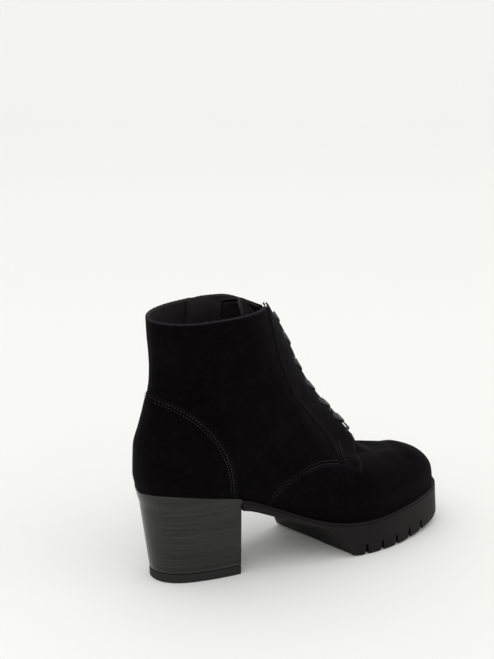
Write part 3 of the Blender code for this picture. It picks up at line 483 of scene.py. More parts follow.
def heel_rungs(height_share):
    """The heel's plan: rounded back and straight breast. 0 at the lift, 1 at the seat."""
    breast = blend(BREAST_FOOT, BREAST_TOP, height_share)
    end = breast_turn()
    seat_back = skin(0.0, 0.0, OUTER, HEEL_RIM).x
    seat_half = abs(skin(0.0, end, OUTER, HEEL_RIM).y)
    rungs = []
    for turn in turns_between(0.0, end):
        pair = []
        for side in (OUTER, INNER):
            top = skin(0.0, turn, side, HEEL_RIM)
            across = top.y / seat_half
            along = (top.x - seat_back) / (skin(0.0, end, side, HEEL_RIM).x - seat_back)
            width = blend(HEEL_FOOT_WIDTH / 2, seat_half, height_share)
            x = blend(blend(HEEL_BACK_FOOT, seat_back, height_share), breast, along)
            pair.append(Vector((x, across * width, 0.0)))
        if turn == 0.0:
            pair = [(pair[0] + pair[1]) / 2] * 2
        rungs.append(tuple(pair))
    return rungs


def turns_between(low, high):
    """The level curves' own turns between two turns, each step halved, with both ends."""
    halves = [k / (2 * SIDE_STEPS) for k in range(2 * SIDE_STEPS + 1)]
    spare = 0.1 / SIDE_STEPS
    return [low, *[turn for turn in halves if low + spare < turn < high - spare], high]


def zip_frame():
    """Where the slider sits: its seat on the strip, and the tilt of the wall below it."""
    z = COLLAR_HEIGHT - SLIDER_DROP
    seat = side_point(zip_x(z), z, INNER)
    foot_z = z - PULL_LENGTH - TAB_LENGTH
    foot = side_point(zip_x(z), foot_z, INNER)
    middle = side_point(zip_x(z), (z + foot_z) / 2, INNER)
    slope = max(foot.y - seat.y, 2 * (middle.y - seat.y), 0.0)
    return seat, slope / (z - foot_z)


def hinge_point():
    """The pull's axis, through the slider's bridge."""
    seat, _ = zip_frame()
    return seat + Vector((0, QUARTER_STEP + SLIDER_PROUD + BRIDGE_HEIGHT / 2, 0))


# Where the last's frame lies in the part's frame: the slider sits at the same place in both
slider_low, slider_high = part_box("zip_slider")
ROOT = Vector(((slider_low.x + slider_high.x) / 2 - hinge_point().x,
               slider_high.y - hinge_point().y - BRIDGE_HEIGHT / 2, 0.0))


def clean(bm):
    """Joins doubled points, dissolves slivers and turns the faces outwards."""
    bmesh.ops.remove_doubles(bm, verts=bm.verts, dist=WELD)
    bmesh.ops.dissolve_degenerate(bm, edges=bm.edges, dist=SLIVER)
    bmesh.ops.recalc_face_normals(bm, faces=bm.faces)


def linked(name, data):
    """A new object in the scene."""
    made = bpy.data.objects.new(name, data)
    bpy.context.scene.collection.objects.link(made)
    return made


def piece(name, points, faces, material, slot, nodes=(), wear_and_highlight=None, uvs=None, body="root"):
    """Makes a mesh piece that rides with a body and stands for the named nodes."""
    mesh = bpy.data.meshes.new(name)
    mesh.from_pydata([tuple(point) for point in points], [], faces)
    # per-point wear_and_highlight values: wear, and painted highlight along edges, read by the suede
    if wear_and_highlight is not None:
        layer = mesh.attributes.new("wear_and_highlight", "FLOAT", "POINT")
        layer.data.foreach_set("value", np.asarray(wear_and_highlight, np.float32))
    if uvs is not None:
        layer = mesh.uv_layers.new(name="weave")
        for loop in mesh.loops:
            layer.data[loop.index].uv = uvs[loop.vertex_index]
    bm = bmesh.new()
    bm.from_mesh(mesh)
    clean(bm)
    bm.to_mesh(mesh)
    bm.free()
    return dress(linked(name, mesh), material, nodes, body=body)


def dress(made, material, nodes=(), sharp=radians(40), body="root"):
    """Gives an object its material, its body and the nodes it stands for."""
    made.data.materials.clear()
    made.data.materials.append(material)
    made.data.shade_smooth()
    made.data.set_sharp_from_angle(angle=sharp)
    made.location = ROOT
    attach(made, body)
    if nodes:
        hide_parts(*nodes)
    return made


def grid_faces(rows, columns, start=0, wrap=False):
    """Quads of a grid of points, row after row."""
    faces = []
    for i in range(rows - 1):
        for j in range(columns if wrap else columns - 1):
            after = (j + 1) % columns
            a, b = start + i * columns + j, start + i * columns + after
            faces.append((a, b, b + columns, a + columns))
    return faces


def nearest_tree(points):
    tree = KDTree(len(points))
    for k, point in enumerate(points):
        tree.insert(point, k)
    tree.balance()
    return tree


def pillow(distance, radius):
    """How far an edge has rounded over, 0 inside and 1 at the edge itself."""
    if distance >= radius:
        return 0.0
    t = distance / radius
    return 1 - sqrt(max(1 - (1 - t) ** 2, 0.0))


def outline_distance(points, outline):
    """Signed distances of 2-D points from a closed outline, positive inside."""
    points, corners = np.asarray(points), np.asarray(outline)
    after = np.roll(corners, -1, axis=0)
    best = np.full(len(points), 1e9)
    inside = np.zeros(len(points), bool)
    for a, b in zip(corners, after):
        along = b - a
        size = along @ along
        if size < 1e-14:
            continue
        t = np.clip((points - a) @ along / size, 0, 1)
        best = np.minimum(best, np.linalg.norm(points - a - t[:, None] * along, axis=1))
        crosses = (a[1] > points[:, 1]) != (b[1] > points[:, 1])
        with np.errstate(divide="ignore", invalid="ignore"):
            at = (b[0] - a[0]) * (points[:, 1] - a[1]) / (b[1] - a[1]) + a[0]
        inside ^= crosses & (points[:, 0] < at)
    return np.where(inside, best, -best)


def line_distance(points, line):
    """Distances of 2-D points from an open line, and where along it each falls, from 0 to 1."""
    points, corners = np.asarray(points), np.asarray(line)
    runs = np.linalg.norm(np.diff(corners, axis=0), axis=1)
    starts = np.concatenate([[0.0], np.cumsum(runs)])
    best, share = np.full(len(points), 1e9), np.zeros(len(points))
    for k, (a, b) in enumerate(zip(corners, corners[1:])):
        along = b - a
        t = np.clip((points - a) @ along / (along @ along), 0, 1)
        away = np.linalg.norm(points - a - t[:, None] * along, axis=1)
        closer = away < best
        best = np.where(closer, away, best)
        share = np.where(closer, (starts[k] + t * runs[k]) / starts[-1], share)
    return best, share


def soft_step(distance, width):
    """0 outside, 1 inside, smooth over the width."""
    t = np.clip(distance / width + 0.5, 0, 1)
    return t * t * (3 - 2 * t)


# Folds of the suede as seen from the side: side, depth in mm (under the surface where negative),
# width in mm, and points in x and z, in mm, that the fold runs along
FOLDS = (
    (OUTER, -1.9, 9.0, ((178, 81), (189, 73), (200, 68), (212, 65), (226, 60))),
    (INNER, -1.9, 9.0, ((178, 81), (189, 73), (200, 68), (212, 65), (226, 60))),
    (OUTER, 0.16, 4.0, ((187, 74), (194, 67), (201, 62), (209, 57))),
    (OUTER, -0.15, 4.0, ((178, 71), (188, 66), (198, 60), (206, 54))),
    (INNER, 0.14, 4.0, ((187, 74), (195, 66), (204, 58))),
    (INNER, -0.15, 4.0, ((178, 70), (190, 64), (200, 55))),
    (OUTER, -0.7, 6.0, ((128, 124), (114, 118), (98, 116), (84, 118))),
    (OUTER, 0.6, 6.0, ((126, 116), (112, 110), (98, 108), (84, 110))),
    (OUTER, -0.6, 5.0, ((118, 103), (104, 99), (90, 100))),
    (OUTER, 0.5, 7.0, ((30, 150), (46, 140), (62, 136), (78, 138))),
    (OUTER, -0.6, 6.0, ((28, 142), (46, 131), (62, 127), (80, 129))),
    (OUTER, -0.5, 6.0, ((20, 122), (34, 116), (50, 114))),
    (INNER, -0.7, 6.0, ((126, 120), (112, 115), (98, 114))),
    (INNER, 0.6, 6.0, ((124, 112), (110, 107), (98, 106))),
    (INNER, -0.6, 6.0, ((26, 128), (40, 120), (56, 118))),
    (OUTER, -0.5, 8.0, ((150, 62), (160, 50), (165, 40))),
    (OUTER, 0.4, 8.0, ((160, 66), (172, 54), (178, 42))),
    (INNER, -0.5, 8.0, ((152, 60), (162, 48), (168, 38))),
)

EDGE_WIDTH = 0.0006       # how sharply one layer of suede steps to the next
ROLL_RADIUS = 0.0012      # rounding of the collar and throat edges
RIM_HIGHLIGHT = 0.0009         # width of the painted highlight, a lighter line along the collar's folded edge where it catches the light
BACK_SEAM_DEPTH = 0.0003
ROWS, COLUMNS = 132, 168  # grid of the suede on each side


def fold_depth(points, side):
    """Depths that the folds and the slack of the leather add at points seen from the side."""
    depth = np.zeros(len(points))
    in_mm = np.asarray(points) * 1000
    for fold_side, height, width, line in FOLDS:
        if fold_side != side:
            continue
        away, share = line_distance(in_mm, refine(line, 4))
        ends = np.clip(np.minimum(share, 1 - share) * 5, 0, 1)
        depth += height * np.exp(-(away / width) ** 2) * ends * ends * (3 - 2 * ends)
    # slow waves over the whole side
    x, z = in_mm[:, 0], in_mm[:, 1]
    depth += 0.18 * np.sin(x / 17 + z / 23 + side) * np.sin(z / 13 - x / 31)
    return depth / 1000


def seam_depth(points):
    """Height of the suede's layers over the last, with their folded edges, and the lighter line along those
    edges (wear and painted highlight).
    """
    quarter = outline_distance(points, quarter_outline())
    counter = outline_distance(points, counter_outline())
    eyestay = outline_distance(points, eyestay_outline())
    depth = QUARTER_STEP * soft_step(quarter, EDGE_WIDTH)
    # the counter lies flatter where it wraps the back
    wrap = np.clip((np.asarray(points)[:, 0] - 0.004) / 0.040, 0, 1)
    over = np.maximum(soft_step(counter, EDGE_WIDTH) * (0.25 + 0.35 * wrap), soft_step(eyestay, EDGE_WIDTH))
    depth += PANEL_STEP * over
    # the layers are skived thin toward the throat's foot
    tip = np.clip((np.asarray(points)[:, 0] - 0.158) / 0.022, 0, 1)
    tip = tip * tip * (3 - 2 * tip)
    depth *= 1 - 0.72 * tip
    # folded edges stand a little proud, and the vamp is drawn down beside them
    for away, height in ((quarter, 0.00016), (counter, 0.00012), (eyestay, 0.00012)):
        height = height * (1 - 0.5 * tip)
        depth += height * np.exp(-((away - 0.0009) / 0.0007) ** 2)
        depth -= height * 1.6 * np.exp(-((away + 0.0006) / 0.0007) ** 2)
        # the stitches pull the leather down in two rows
        for row in STITCH_ROWS:
            depth -= 0.00012 * np.exp(-((away - row) / 0.00045) ** 2)
    # a lighter line just inside each layer's folded edge: partly wear, partly painted highlight where the
    # raised edge catches the light
    edge_highlight_and_wear = np.maximum.reduce([np.exp(-((away - 0.0006) / 0.0011) ** 2)
                              for away in (quarter, counter, eyestay)])
    return depth, edge_highlight_and_wear


def throat_turn(level, side):
    """The turn at which a level curve reaches the throat's edge."""
    return 1.0 if level <= THROAT_LEVEL else ridge_turn(level, throat_half(level), side)


CORNER_DROP = {OUTER: 0.006, INNER: 0.030}   # how far, in levels, the collar dips to the throat


def dipped(level, share, side):
    """The level after the collar's dip toward the throat; share runs from the back to the throat."""
    return level - CORNER_DROP[side] * ease(level, 0.80, 1.0) * ease(share, 0.74, 1.0)


def open_edge():
    """Points along the collar, and along both edges of the throat."""
    collar, throat = [], []
    for side in (OUTER, INNER):
        end = throat_turn(1.0, side)
        for k in range(COLLAR_POINTS + 1):
            collar.append(skin(dipped(1.0, k / COLLAR_POINTS, side), end * k / COLLAR_POINTS, side))
        for k in range(THROAT_POINTS):
            level = blend(THROAT_LEVEL, 1.0, k / (THROAT_POINTS - 1))
            throat.append(skin(dipped(level, 1.0, side), throat_turn(level, side), side))
    return collar, throat


def side_grid(side, levels, shares):
    """Base points and normals of one side of the boot, up to the throat's edge."""
    base, normals = [], []
    for level in levels:
        end = throat_turn(level, side)
        for share in shares:
            here = dipped(level, share, side)
            base.append(last_point(here, arc_share(share * end), side))
            normals.append(last_normal(here, share * end, side))
    return base, normals


def spaced(count, ends):
    """Even shares from 0, closing in on 1 by the given steps."""
    even = [k / count for k in range(count) if k / count < 1 - ends[0] * 1.2]
    return even + [1 - end for end in ends] + [1.0]


def make_suede(suede, lining, edge):
    """The outer suede in one skin, curled in at the collar and the throat, and the lining behind it."""
    tree, collar = nearest_tree(edge[0] + edge[1]), nearest_tree(edge[0])
    holes = nearest_tree([point for row in eyelet_centres() for point in row])
    zip_foot, zip_top = (ZIP_FOOT_X, ZIP_FOOT_HEIGHT), (ZIP_TOP_X, COLLAR_HEIGHT + 0.004)
    outside, inside = [[], [], []], [[], []]
    for side in (OUTER, INNER):
        levels = spaced(ROWS, TOP_ENDS)
        shares = spaced(COLUMNS, SIDE_ENDS)
        base, normals = side_grid(side, levels, shares)
        flat = np.array([(point.x, point.z) for point in base])
        depth, edge_highlight_and_wear = seam_depth(flat)
        depth += fold_depth(flat, side)
        if side == INNER:
            away, _ = line_distance(flat, (zip_foot, zip_top))
            groove = soft_step(ZIP_WIDTH / 2 + 0.0003 - away, 0.0007)
            depth = depth * (1 - groove) - ZIP_GROOVE * groove
        start = len(outside[0])
        for k, (point, normal) in enumerate(zip(base, normals)):
            away = tree.find(point)[2]
            rim = collar.find(point)[2]
            back_seam = k % len(shares) == 0 and point.z > (COUNTER_TOP + 0.01) * COLLAR_HEIGHT
            lift = depth[k] - BACK_SEAM_DEPTH * back_seam
            lift -= EYELET_SINK * (1 - ease(holes.find(point)[2], EYELET_RADIUS * 0.75, EYELET_RADIUS * 1.15))
            lift = blend(lift, (lift - WALL) / 2, pillow(away, ROLL_RADIUS))
            outside[0].append(point + normal * lift)
            # wear_and_highlight: painted highlight along the collar's edge, a lighter line on each layer's
            # edge (wear and painted highlight), and a lighter line down the back seam
            outside[2].append(max(np.exp(-(rim / RIM_HIGHLIGHT) ** 2), 0.13 * edge_highlight_and_wear[k], 0.85 * back_seam))
        outside[1] += grid_faces(len(levels), len(shares), start)
        levels = spaced(LINING_ROWS, TOP_ENDS)
        shares = spaced(LINING_COLUMNS, SIDE_ENDS)
        base, normals = side_grid(side, levels, shares)
        start = len(inside[0])
        for point, normal in zip(base, normals):
            away = tree.find(point)[2]
            top = QUARTER_STEP + PANEL_STEP if away < 0.01 else 0.0
            inside[0].append(point + normal * blend(-WALL, (top - WALL) / 2, pillow(away, ROLL_RADIUS)))
        inside[1] += grid_faces(len(levels), len(shares), start)
    piece("boot_suede", outside[0], outside[1], suede, "suede", ("upper",), wear_and_highlight=outside[2])
    piece("boot_lining", *inside, lining, "lining")


def eyelet_centres(depth=0.0):
    """Rows of (outer side, inner side) eyelet centres, from the throat's foot up."""
    rows = []
    for level in EYELET_LEVELS:
        reach = throat_half(level) + EYELET_INSET
        rows.append((front_point(level, -reach, depth), front_point(level, reach, depth)))
    return rows


def soft_sheet(name, points, normals, rows, columns, depth, thickness, radius, material, slot, nodes=()):
    """A thick sheet with rounded edges over a grid of base points, and a painted highlight along those edges.
    """
    last = (rows - 1) * columns
    borders = (points[:columns], points[last:], points[::columns], points[columns - 1::columns])
    dense = [a.lerp(b, t / 4) for line in borders for a, b in zip(line, line[1:]) for t in range(5)]
    tree = nearest_tree(dense)
    made, edge_highlight_and_wear = [], []
    for face in (0, 1):
        for point, normal in zip(points, normals):
            away = tree.find(point)[2]
            # painted highlight: a lighter line along the sheet's rounded edges, shown where the suede reads
            # it
            edge_highlight_and_wear.append(np.exp(-(away / RIM_HIGHLIGHT) ** 2))
            curl = pillow(away, radius) * thickness / 2
            made.append(point + normal * (depth - curl if face == 0 else depth - thickness + curl))
    faces = grid_faces(rows, columns) + grid_faces(rows, columns, rows * columns)
    return piece(name, made, faces, material, slot, nodes, wear_and_highlight=edge_highlight_and_wear)


TONGUE_SPREAD = 1.45      # wider top of the tongue
TONGUE_DROP = 0.19        # how far, in levels, its corners drop
TONGUE_BEND = (0.62, 1.02) # where the lean begins and ends, shares of its length
TONGUE_PAD = 0.0022       # how far the padding rises in the throat


def make_tongue(suede, lining):
    """The tongue, from under the vamp to over the collar, with a rounded top."""
    rows, columns = 64, 30
    points, normals = [], []
    down = [0.0, 0.012, 0.03] + [k / (columns - 1) for k in range(1, columns - 1)] + [0.97, 0.988, 1.0]
    down = sorted(set(down))
    up = [k / rows for k in range(rows)] + [0.991, 0.996, 1.0]
    for rise in up:
        for share in down:
            across = 2 * share - 1
            top = 1.0 + TONGUE_RISE / (COLLAR_HEIGHT * OVER_COLLAR) - TONGUE_DROP * abs(across) ** 1.35
            level = blend(TONGUE_LEVEL, top, rise)
            height = (level - TONGUE_LEVEL) / (1 - TONGUE_LEVEL)
            width = TONGUE_WIDTH * blend(TONGUE_FOOT_SHARE, 1.0, ease(height, 0.0, 0.5)) / 2
            width *= blend(1.0, TONGUE_SPREAD, ease(height, 0.55, 1.0))
            side = INNER if across >= 0 else OUTER
            spot = round_the_ridge(min(level, 1.0), abs(across) * width, side, 0.0)
            over = round_the_ridge(min(level, 1.0), abs(across) * width, side, -0.001)
            lean = Vector((-TONGUE_LEAN * ease(rise, *TONGUE_BEND), 0,
                           max(level - 1.0, 0.0) * COLLAR_HEIGHT * OVER_COLLAR))
            ripple = 0.0003 * sin(rise * 31) * ease(rise, 0.3, 0.6)
            outwards = (spot - over).normalized()
            # padding that the laces press up between the throat's edges
            open_half = throat_half(min(max(level, THROAT_LEVEL), 1.0))
            pad = TONGUE_PAD * (1 - ease(abs(across) * width, open_half * 0.2, open_half * 1.1))
            pad *= ease(level, THROAT_LEVEL + 0.02, THROAT_LEVEL + 0.09)
            points.append(spot + lean + Vector((ripple, 0, 0)) + outwards * pad)
            normals.append(outwards)
    outside = -WALL - GAP * 2
    soft_sheet("boot_tongue", points, normals, len(up), len(down), outside, TONGUE_THICKNESS, 0.0012,
               suede, "suede", ("tongue",))
    backing = [point + (points[len(points) // 2] - point) * 0.03 - Vector((0, 0, 0.0010)) for point in points]
    soft_sheet("tongue_lining", backing, normals, len(up), len(down), outside - TONGUE_THICKNESS + 0.0002,
               0.0006, 0.0004, lining, "lining")


LACE_REST = 0.0001        # between the eyestay and the lace that lies on it


def lace_points(low, high, rise):
    """Middle line of one crossing: out of a lower eyelet, over the throat and into a higher one."""
    steps = 40
    level_low, y_low = low
    level_high, y_high = high
    line = []
    for k in range(steps + 1):
        t = k / steps
        level, y = blend(level_low, level_high, t), blend(y_low, y_high, t)
        near = min(t, 1 - t)
        base = QUARTER_STEP + PANEL_STEP + LACE_REST + LACE_THICKNESS / 2
        bow = rise * ease(near, 0.0, 0.35)
        sink = LACE_SINK * (1 - ease(near, 0.0, 0.11))
        spot = front_point(level, y, base + bow - sink)
        normal = (front_point(level, y, 0.001) - front_point(level, y, 0.0)).normalized()
        width = LACE_WIDTH * blend(0.50, 1.0, ease(near, 0.02, 0.17))
        line.append((spot, normal, width))
    return line


def make_laces(lace):
    """Flat laces through the eyelets, crossing over the throat."""
    reach = [throat_half(level) + EYELET_INSET for level in EYELET_LEVELS]
    ring = 14
    points, faces, uvs = [], [], []
    for k in range(len(EYELET_LEVELS) - 1):
        low, high = EYELET_LEVELS[k], EYELET_LEVELS[k + 1]
        for side, rise in ((OUTER, 0.0), (INNER, 0.0010)):
            line = lace_points((low, side * reach[k]), (high, -side * reach[k + 1]), rise)
            start, run = len(points), 0.0
            for i, (spot, normal, width) in enumerate(line):
                before, after = line[max(i - 1, 0)][0], line[min(i + 1, len(line) - 1)][0]
                across = normal.cross(after - before).normalized()
                run += (spot - line[max(i - 1, 0)][0]).length
                for j in range(ring):
                    angle = 2 * pi * j / ring
                    c, s = cos(angle), sin(angle)
                    # a flat section with rounded sides, a little thicker along its edges
                    flat = abs(c) ** 0.55 * (1 if c > 0 else -1)
                    crown = abs(s) ** 0.7 * (1 if s > 0 else -1)
                    points.append(spot + across * flat * width / 2
                                  + normal * crown * LACE_THICKNESS / 2 * (1 + 0.18 * abs(flat) ** 3))
                    uvs.append((run * 1000, flat * width * 500))
            faces += grid_faces(len(line), ring, start, wrap=True)
            for end in (start, start + (len(line) - 1) * ring):
                faces.append(tuple(range(end, end + ring)))
    piece("boot_laces", points, faces, lace, "lace", ("laces",), uvs=uvs)


def stitch_line(outline, inset, side, pitch, lift):
    """Stitches along a line seen from the side, moved sideways by inset. Returns their end points."""
    line = [Vector(p) for p in outline]
    moved = []
    for i, here in enumerate(line):
        along = (line[min(i + 1, len(line) - 1)] - line[max(i - 1, 0)]).normalized()
        moved.append(here + Vector((-along.y, along.x)) * inset)
    ends, carry = [], 0.0
    for a, b in zip(moved, moved[1:]):
        # the wall's own slope makes the real run longer than it looks from the side
        run = (side_point(b.x, b.y, side) - side_point(a.x, a.y, side)).length
        here = carry
        while here < run:
            t, u = here / run, min((here + pitch * 0.52) / run, 1.15)
            first, last = a.lerp(b, t), a.lerp(b, u)
            ends.append((side_point(first.x, first.y, side, lift), side_point(last.x, last.y, side, lift)))
            here += pitch
        carry = here - run
    return ends


def thread(ends, radius):
    """Short rounded threads, each sunk at both ends."""
    points, faces = [], []
    ring = 5
    for start, end in ends:
        along = end - start
        if along.length < 0.0002:
            continue
        across = along.orthogonal().normalized()
        other = along.normalized().cross(across)
        first = len(points)
        for t, size in ((0.0, 0.35), (0.2, 0.95), (0.8, 0.95), (1.0, 0.35)):
            for j in range(ring):
                angle = 2 * pi * j / ring
                points.append(start + along * t + (across * cos(angle) + other * sin(angle)) * radius * size)
        faces += grid_faces(4, ring, first, wrap=True)
        for end_ring in (first, first + 3 * ring):
            faces.append(tuple(range(end_ring, end_ring + ring)))
    return points, faces


def counter_edge():
    """The counter's curved edge alone, from the sole up to the back seam."""
    return refine(counter_outline()[1:-2], 1)


# Double bar stitch at the foot of the eyestay
BAR_STITCHES = (0.1530, 0.1550)
BAR_FOOT, BAR_TOP = 0.0660, 0.0800


def make_stitches(material, edge):
    """Double rows along the counter, the quarter and the eyestay, and bar stitches at the eyestay's foot."""
    lift = QUARTER_STEP + PANEL_STEP
    low = bed_height(0.06) + 0.001
    counter = [p for p in counter_edge() if p[1] > low and p[0] > 0.0125]
    quarter = [p for p in refine(shares_to_outline(QUARTER_EDGE), 4) if p[1] > bed_height(p[0]) + 0.003]
    quarter_tip = shares_to_outline((QUARTER_FRONT,))[0]
    quarter = quarter + [(blend(quarter[-1][0], quarter_tip[0], t), blend(quarter[-1][1], quarter_tip[1], t))
                         for t in (0.25, 0.5, 0.72)]
    eyestay = [p for p in refine(shares_to_outline(EYESTAY_EDGE), 4) if p[1] < BAR_TOP]
    ends = []
    for side in (OUTER, INNER):
        for row in STITCH_ROWS:
            ends += stitch_line(counter, row, side, STITCH_PITCH, lift)
            ends += stitch_line(quarter, row, side, STITCH_PITCH, QUARTER_STEP)
            ends += stitch_line(eyestay, row, side, STITCH_PITCH, lift)
    # bar stitches that hold the eyestay's foot
    for x in BAR_STITCHES:
        for side in (OUTER, INNER):
            ends += stitch_line(((x, BAR_FOOT), (x, BAR_TOP)), 0.0, side, STITCH_PITCH, lift)
    collar = nearest_tree(edge[0])
    ends = [(a, b) for a, b in ends if max(a.z, b.z) < collar.find(b)[0].z - 0.004
            and not (a.x < 0.03 and a.z < HEEL_HEIGHT + 0.03)]
    points, faces = thread(ends, THREAD_RADIUS)
    piece("seam_stitches", points, faces, material, "suede")


def solid_from_rings(rings):
    """Points and faces of a solid from ladders of (outer, inner) pairs, closed above and below."""
    count = len(rings[0])
    points, faces = [], []
    for ladder in rings:
        points += [pair[0] for pair in ladder] + [pair[1] for pair in ladder]
    width = 2 * count

    def at(ring, side, k):
        return ring * width + side * count + k

    for r in range(len(rings) - 1):
        for side in (0, 1):
            for k in range(count - 1):
                faces.append((at(r, side, k), at(r, side, k + 1), at(r + 1, side, k + 1), at(r + 1, side, k)))
        for k in (0, count - 1):
            faces.append((at(r, 0, k), at(r, 1, k), at(r + 1, 1, k), at(r + 1, 0, k)))
    for r in (0, len(rings) - 1):
        for k in range(count - 1):
            faces.append((at(r, 0, k), at(r, 0, k + 1), at(r, 1, k + 1), at(r, 1, k)))
    return points, faces


def bare_mesh(name, points, faces):
    """A closed mesh object for further cutting."""
    bm = bmesh.new()
    made = [bm.verts.new(point) for point in points]
    for face in faces:
        corners = [made[k] for k in face]
        if len(set(corners)) > 2:
            bm.faces.new(corners)
    clean(bm)
    mesh = bpy.data.meshes.new(name)
    bm.to_mesh(mesh)
    bm.free()
    return linked(name, mesh)


def cut(target, tool):
    """Takes the tool away from the target."""
    modifier = target.modifiers.new("cut", "BOOLEAN")
    modifier.operation = "DIFFERENCE"
    modifier.object = tool
    graph = bpy.context.evaluated_depsgraph_get()
    target.data = bpy.data.meshes.new_from_object(target.evaluated_get(graph))
    target.modifiers.clear()
    bpy.data.objects.remove(tool)


def make_sole(rubber):
    """Platform sole with its ledge, lugs and grooves."""
    turns = turns_between(breast_turn(), 1.0)
    # how far each line of the wall lies under the rim, or its share of the wall below that; outward growth
    walls = (("rim", 0.0, -0.0012), ("rim", 0.0, LEDGE - 0.0003), ("rim", 0.0003, LEDGE),
             ("rim", 0.0012, LEDGE), ("rim", 0.0015, LEDGE - 0.0004), ("rim", 0.0019, LEDGE - 0.0004),
             ("rim", 0.0022, LEDGE + 0.0001), ("wall", 0.8, LEDGE + 0.0003),
             ("wall", 0.55, LEDGE + SOLE_FLARE * 0.55),
             ("wall", 0.25, LEDGE + SOLE_FLARE * 0.9), ("wall", 0.08, LEDGE + SOLE_FLARE),
             ("wall", 0.025, LEDGE + SOLE_FLARE - 0.0003), ("wall", 0.0, LEDGE + SOLE_FLARE - 0.0012))
    rings = []
    for kind, value, grow in walls:
        rungs = []
        for turn in turns:
            pair = []
            for side in (OUTER, INNER):
                top = skin(0.0, turn, side, grow)
                height = bed_height(top.x) - GAP
                forward = ease(turn, turns[0], turns[0] + 0.25) * (1 - ease(turn, 0.72, 1.0))
                rim_share = 1.0 if kind == "rim" else value * 0.9
                skew = -side * REAR_SKEW * forward * (1 - rim_share)
                foot = edge_point(last_point(0.0, arc_share(turn), side).x + skew, side, grow)
                floor = tread_height(foot.x - skew)
                z = height - value if kind == "rim" else blend(floor, height - 0.0022, value)
                pair.append(Vector((blend(foot.x, top.x, rim_share), blend(foot.y, top.y, rim_share), z)))
            rungs.append(tuple(pair))
        middle = (rungs[-1][0] + rungs[-1][1]) / 2
        rungs[-1] = (middle, middle)
        shift = BREAST_TOP + GAP * 2 - min(rungs[0][0].x, rungs[0][1].x)
        rungs[0] = tuple(p + Vector((shift, 0, 0)) for p in rungs[0])
        rings.append(rungs)
    sole = bare_mesh("boot_sole", *solid_from_rings(rings))
    slots, grooves = [[], []], [[], []]
    for side in (OUTER, INNER):
        corner = TREAD_REAR - side * REAR_SKEW
        for k in range(SLOT_COUNT):
            x = corner + SLOT_SETBACK + k * SLOT_PITCH
            edge = edge_point(x, side, LEDGE + SOLE_FLARE)
            foot = tread_height(x + side * REAR_SKEW)
            half = SLOT_WIDTH / 2
            outline = [(x - half * a, foot + SLOT_HEIGHT * b) for a, b in SLOT_SHAPE]
            outline += [(x + half * a, foot + SLOT_HEIGHT * b) for a, b in reversed(SLOT_SHAPE[:-1])]
            near, far = edge.y - side * SLOT_DEPTH, edge.y + side * 0.006
            add_prism(slots, outline, near, far)
    for k in range(SLOT_COUNT + 1):
        inner = TREAD_REAR - REAR_SKEW + SLOT_SETBACK + k * SLOT_PITCH
        middle = inner + REAR_SKEW * 0.9
        foot = tread_height(TREAD_REAR + SLOT_SETBACK + k * SLOT_PITCH)
        low, high = foot - GROOVE_SUNK, foot + GROOVE_DEPTH
        outline = [(middle - GROOVE_FOOT, low), (middle + GROOVE_FOOT, low),
                   (middle + GROOVE_TOP, high), (middle - GROOVE_TOP, high)]
        add_prism(grooves, outline, -GROOVE_REACH, GROOVE_REACH)
    cut(sole, bare_mesh("slots", *slots))
    cut(sole, bare_mesh("grooves", *grooves))
    dress(sole, rubber, ("outsole",), radians(38))


def add_prism(store, outline, y_low, y_high):
    """Adds an outline in x and z, extruded along Y, to a store of points and faces."""
    points, faces = store
    start, count = len(points), len(outline)
    for y in (y_low, y_high):
        points += [(x, y, z) for x, z in outline]
    faces.append(tuple(range(start, start + count)))
    faces.append(tuple(range(start + count, start + 2 * count)))
    for k in range(count):
        after = (k + 1) % count
        faces.append((start + k, start + after, start + count + after, start + count + k))


def grown(pair, grow):
    """Moves a rung's ends outwards from the heel's middle."""
    moved = []
    for point in pair:
        away = Vector((point.x - 0.040, point.y, 0))
        moved.append(point + away.normalized() * grow)
    return moved


# How far the heel's rim climbs the counter at the back and the breast, and midway over both
RIM_BACK, RIM_BREAST, RIM_BOW = 0.0029, 0.0012, 0.0036
HEEL_RIM_PROUD = 0.0021   # it lies over the counter's layers


def seat_point(turn, side, rise, grow):
    """The point of the wall that lies the given rise over the seat."""
    share = arc_share(turn)
    goal = last_point(0.0, share, side).z + rise
    level = halve(0.0, 0.3, 18, lambda level: last_point(level, share, side).z < goal)
    return skin(level, turn, side, grow)


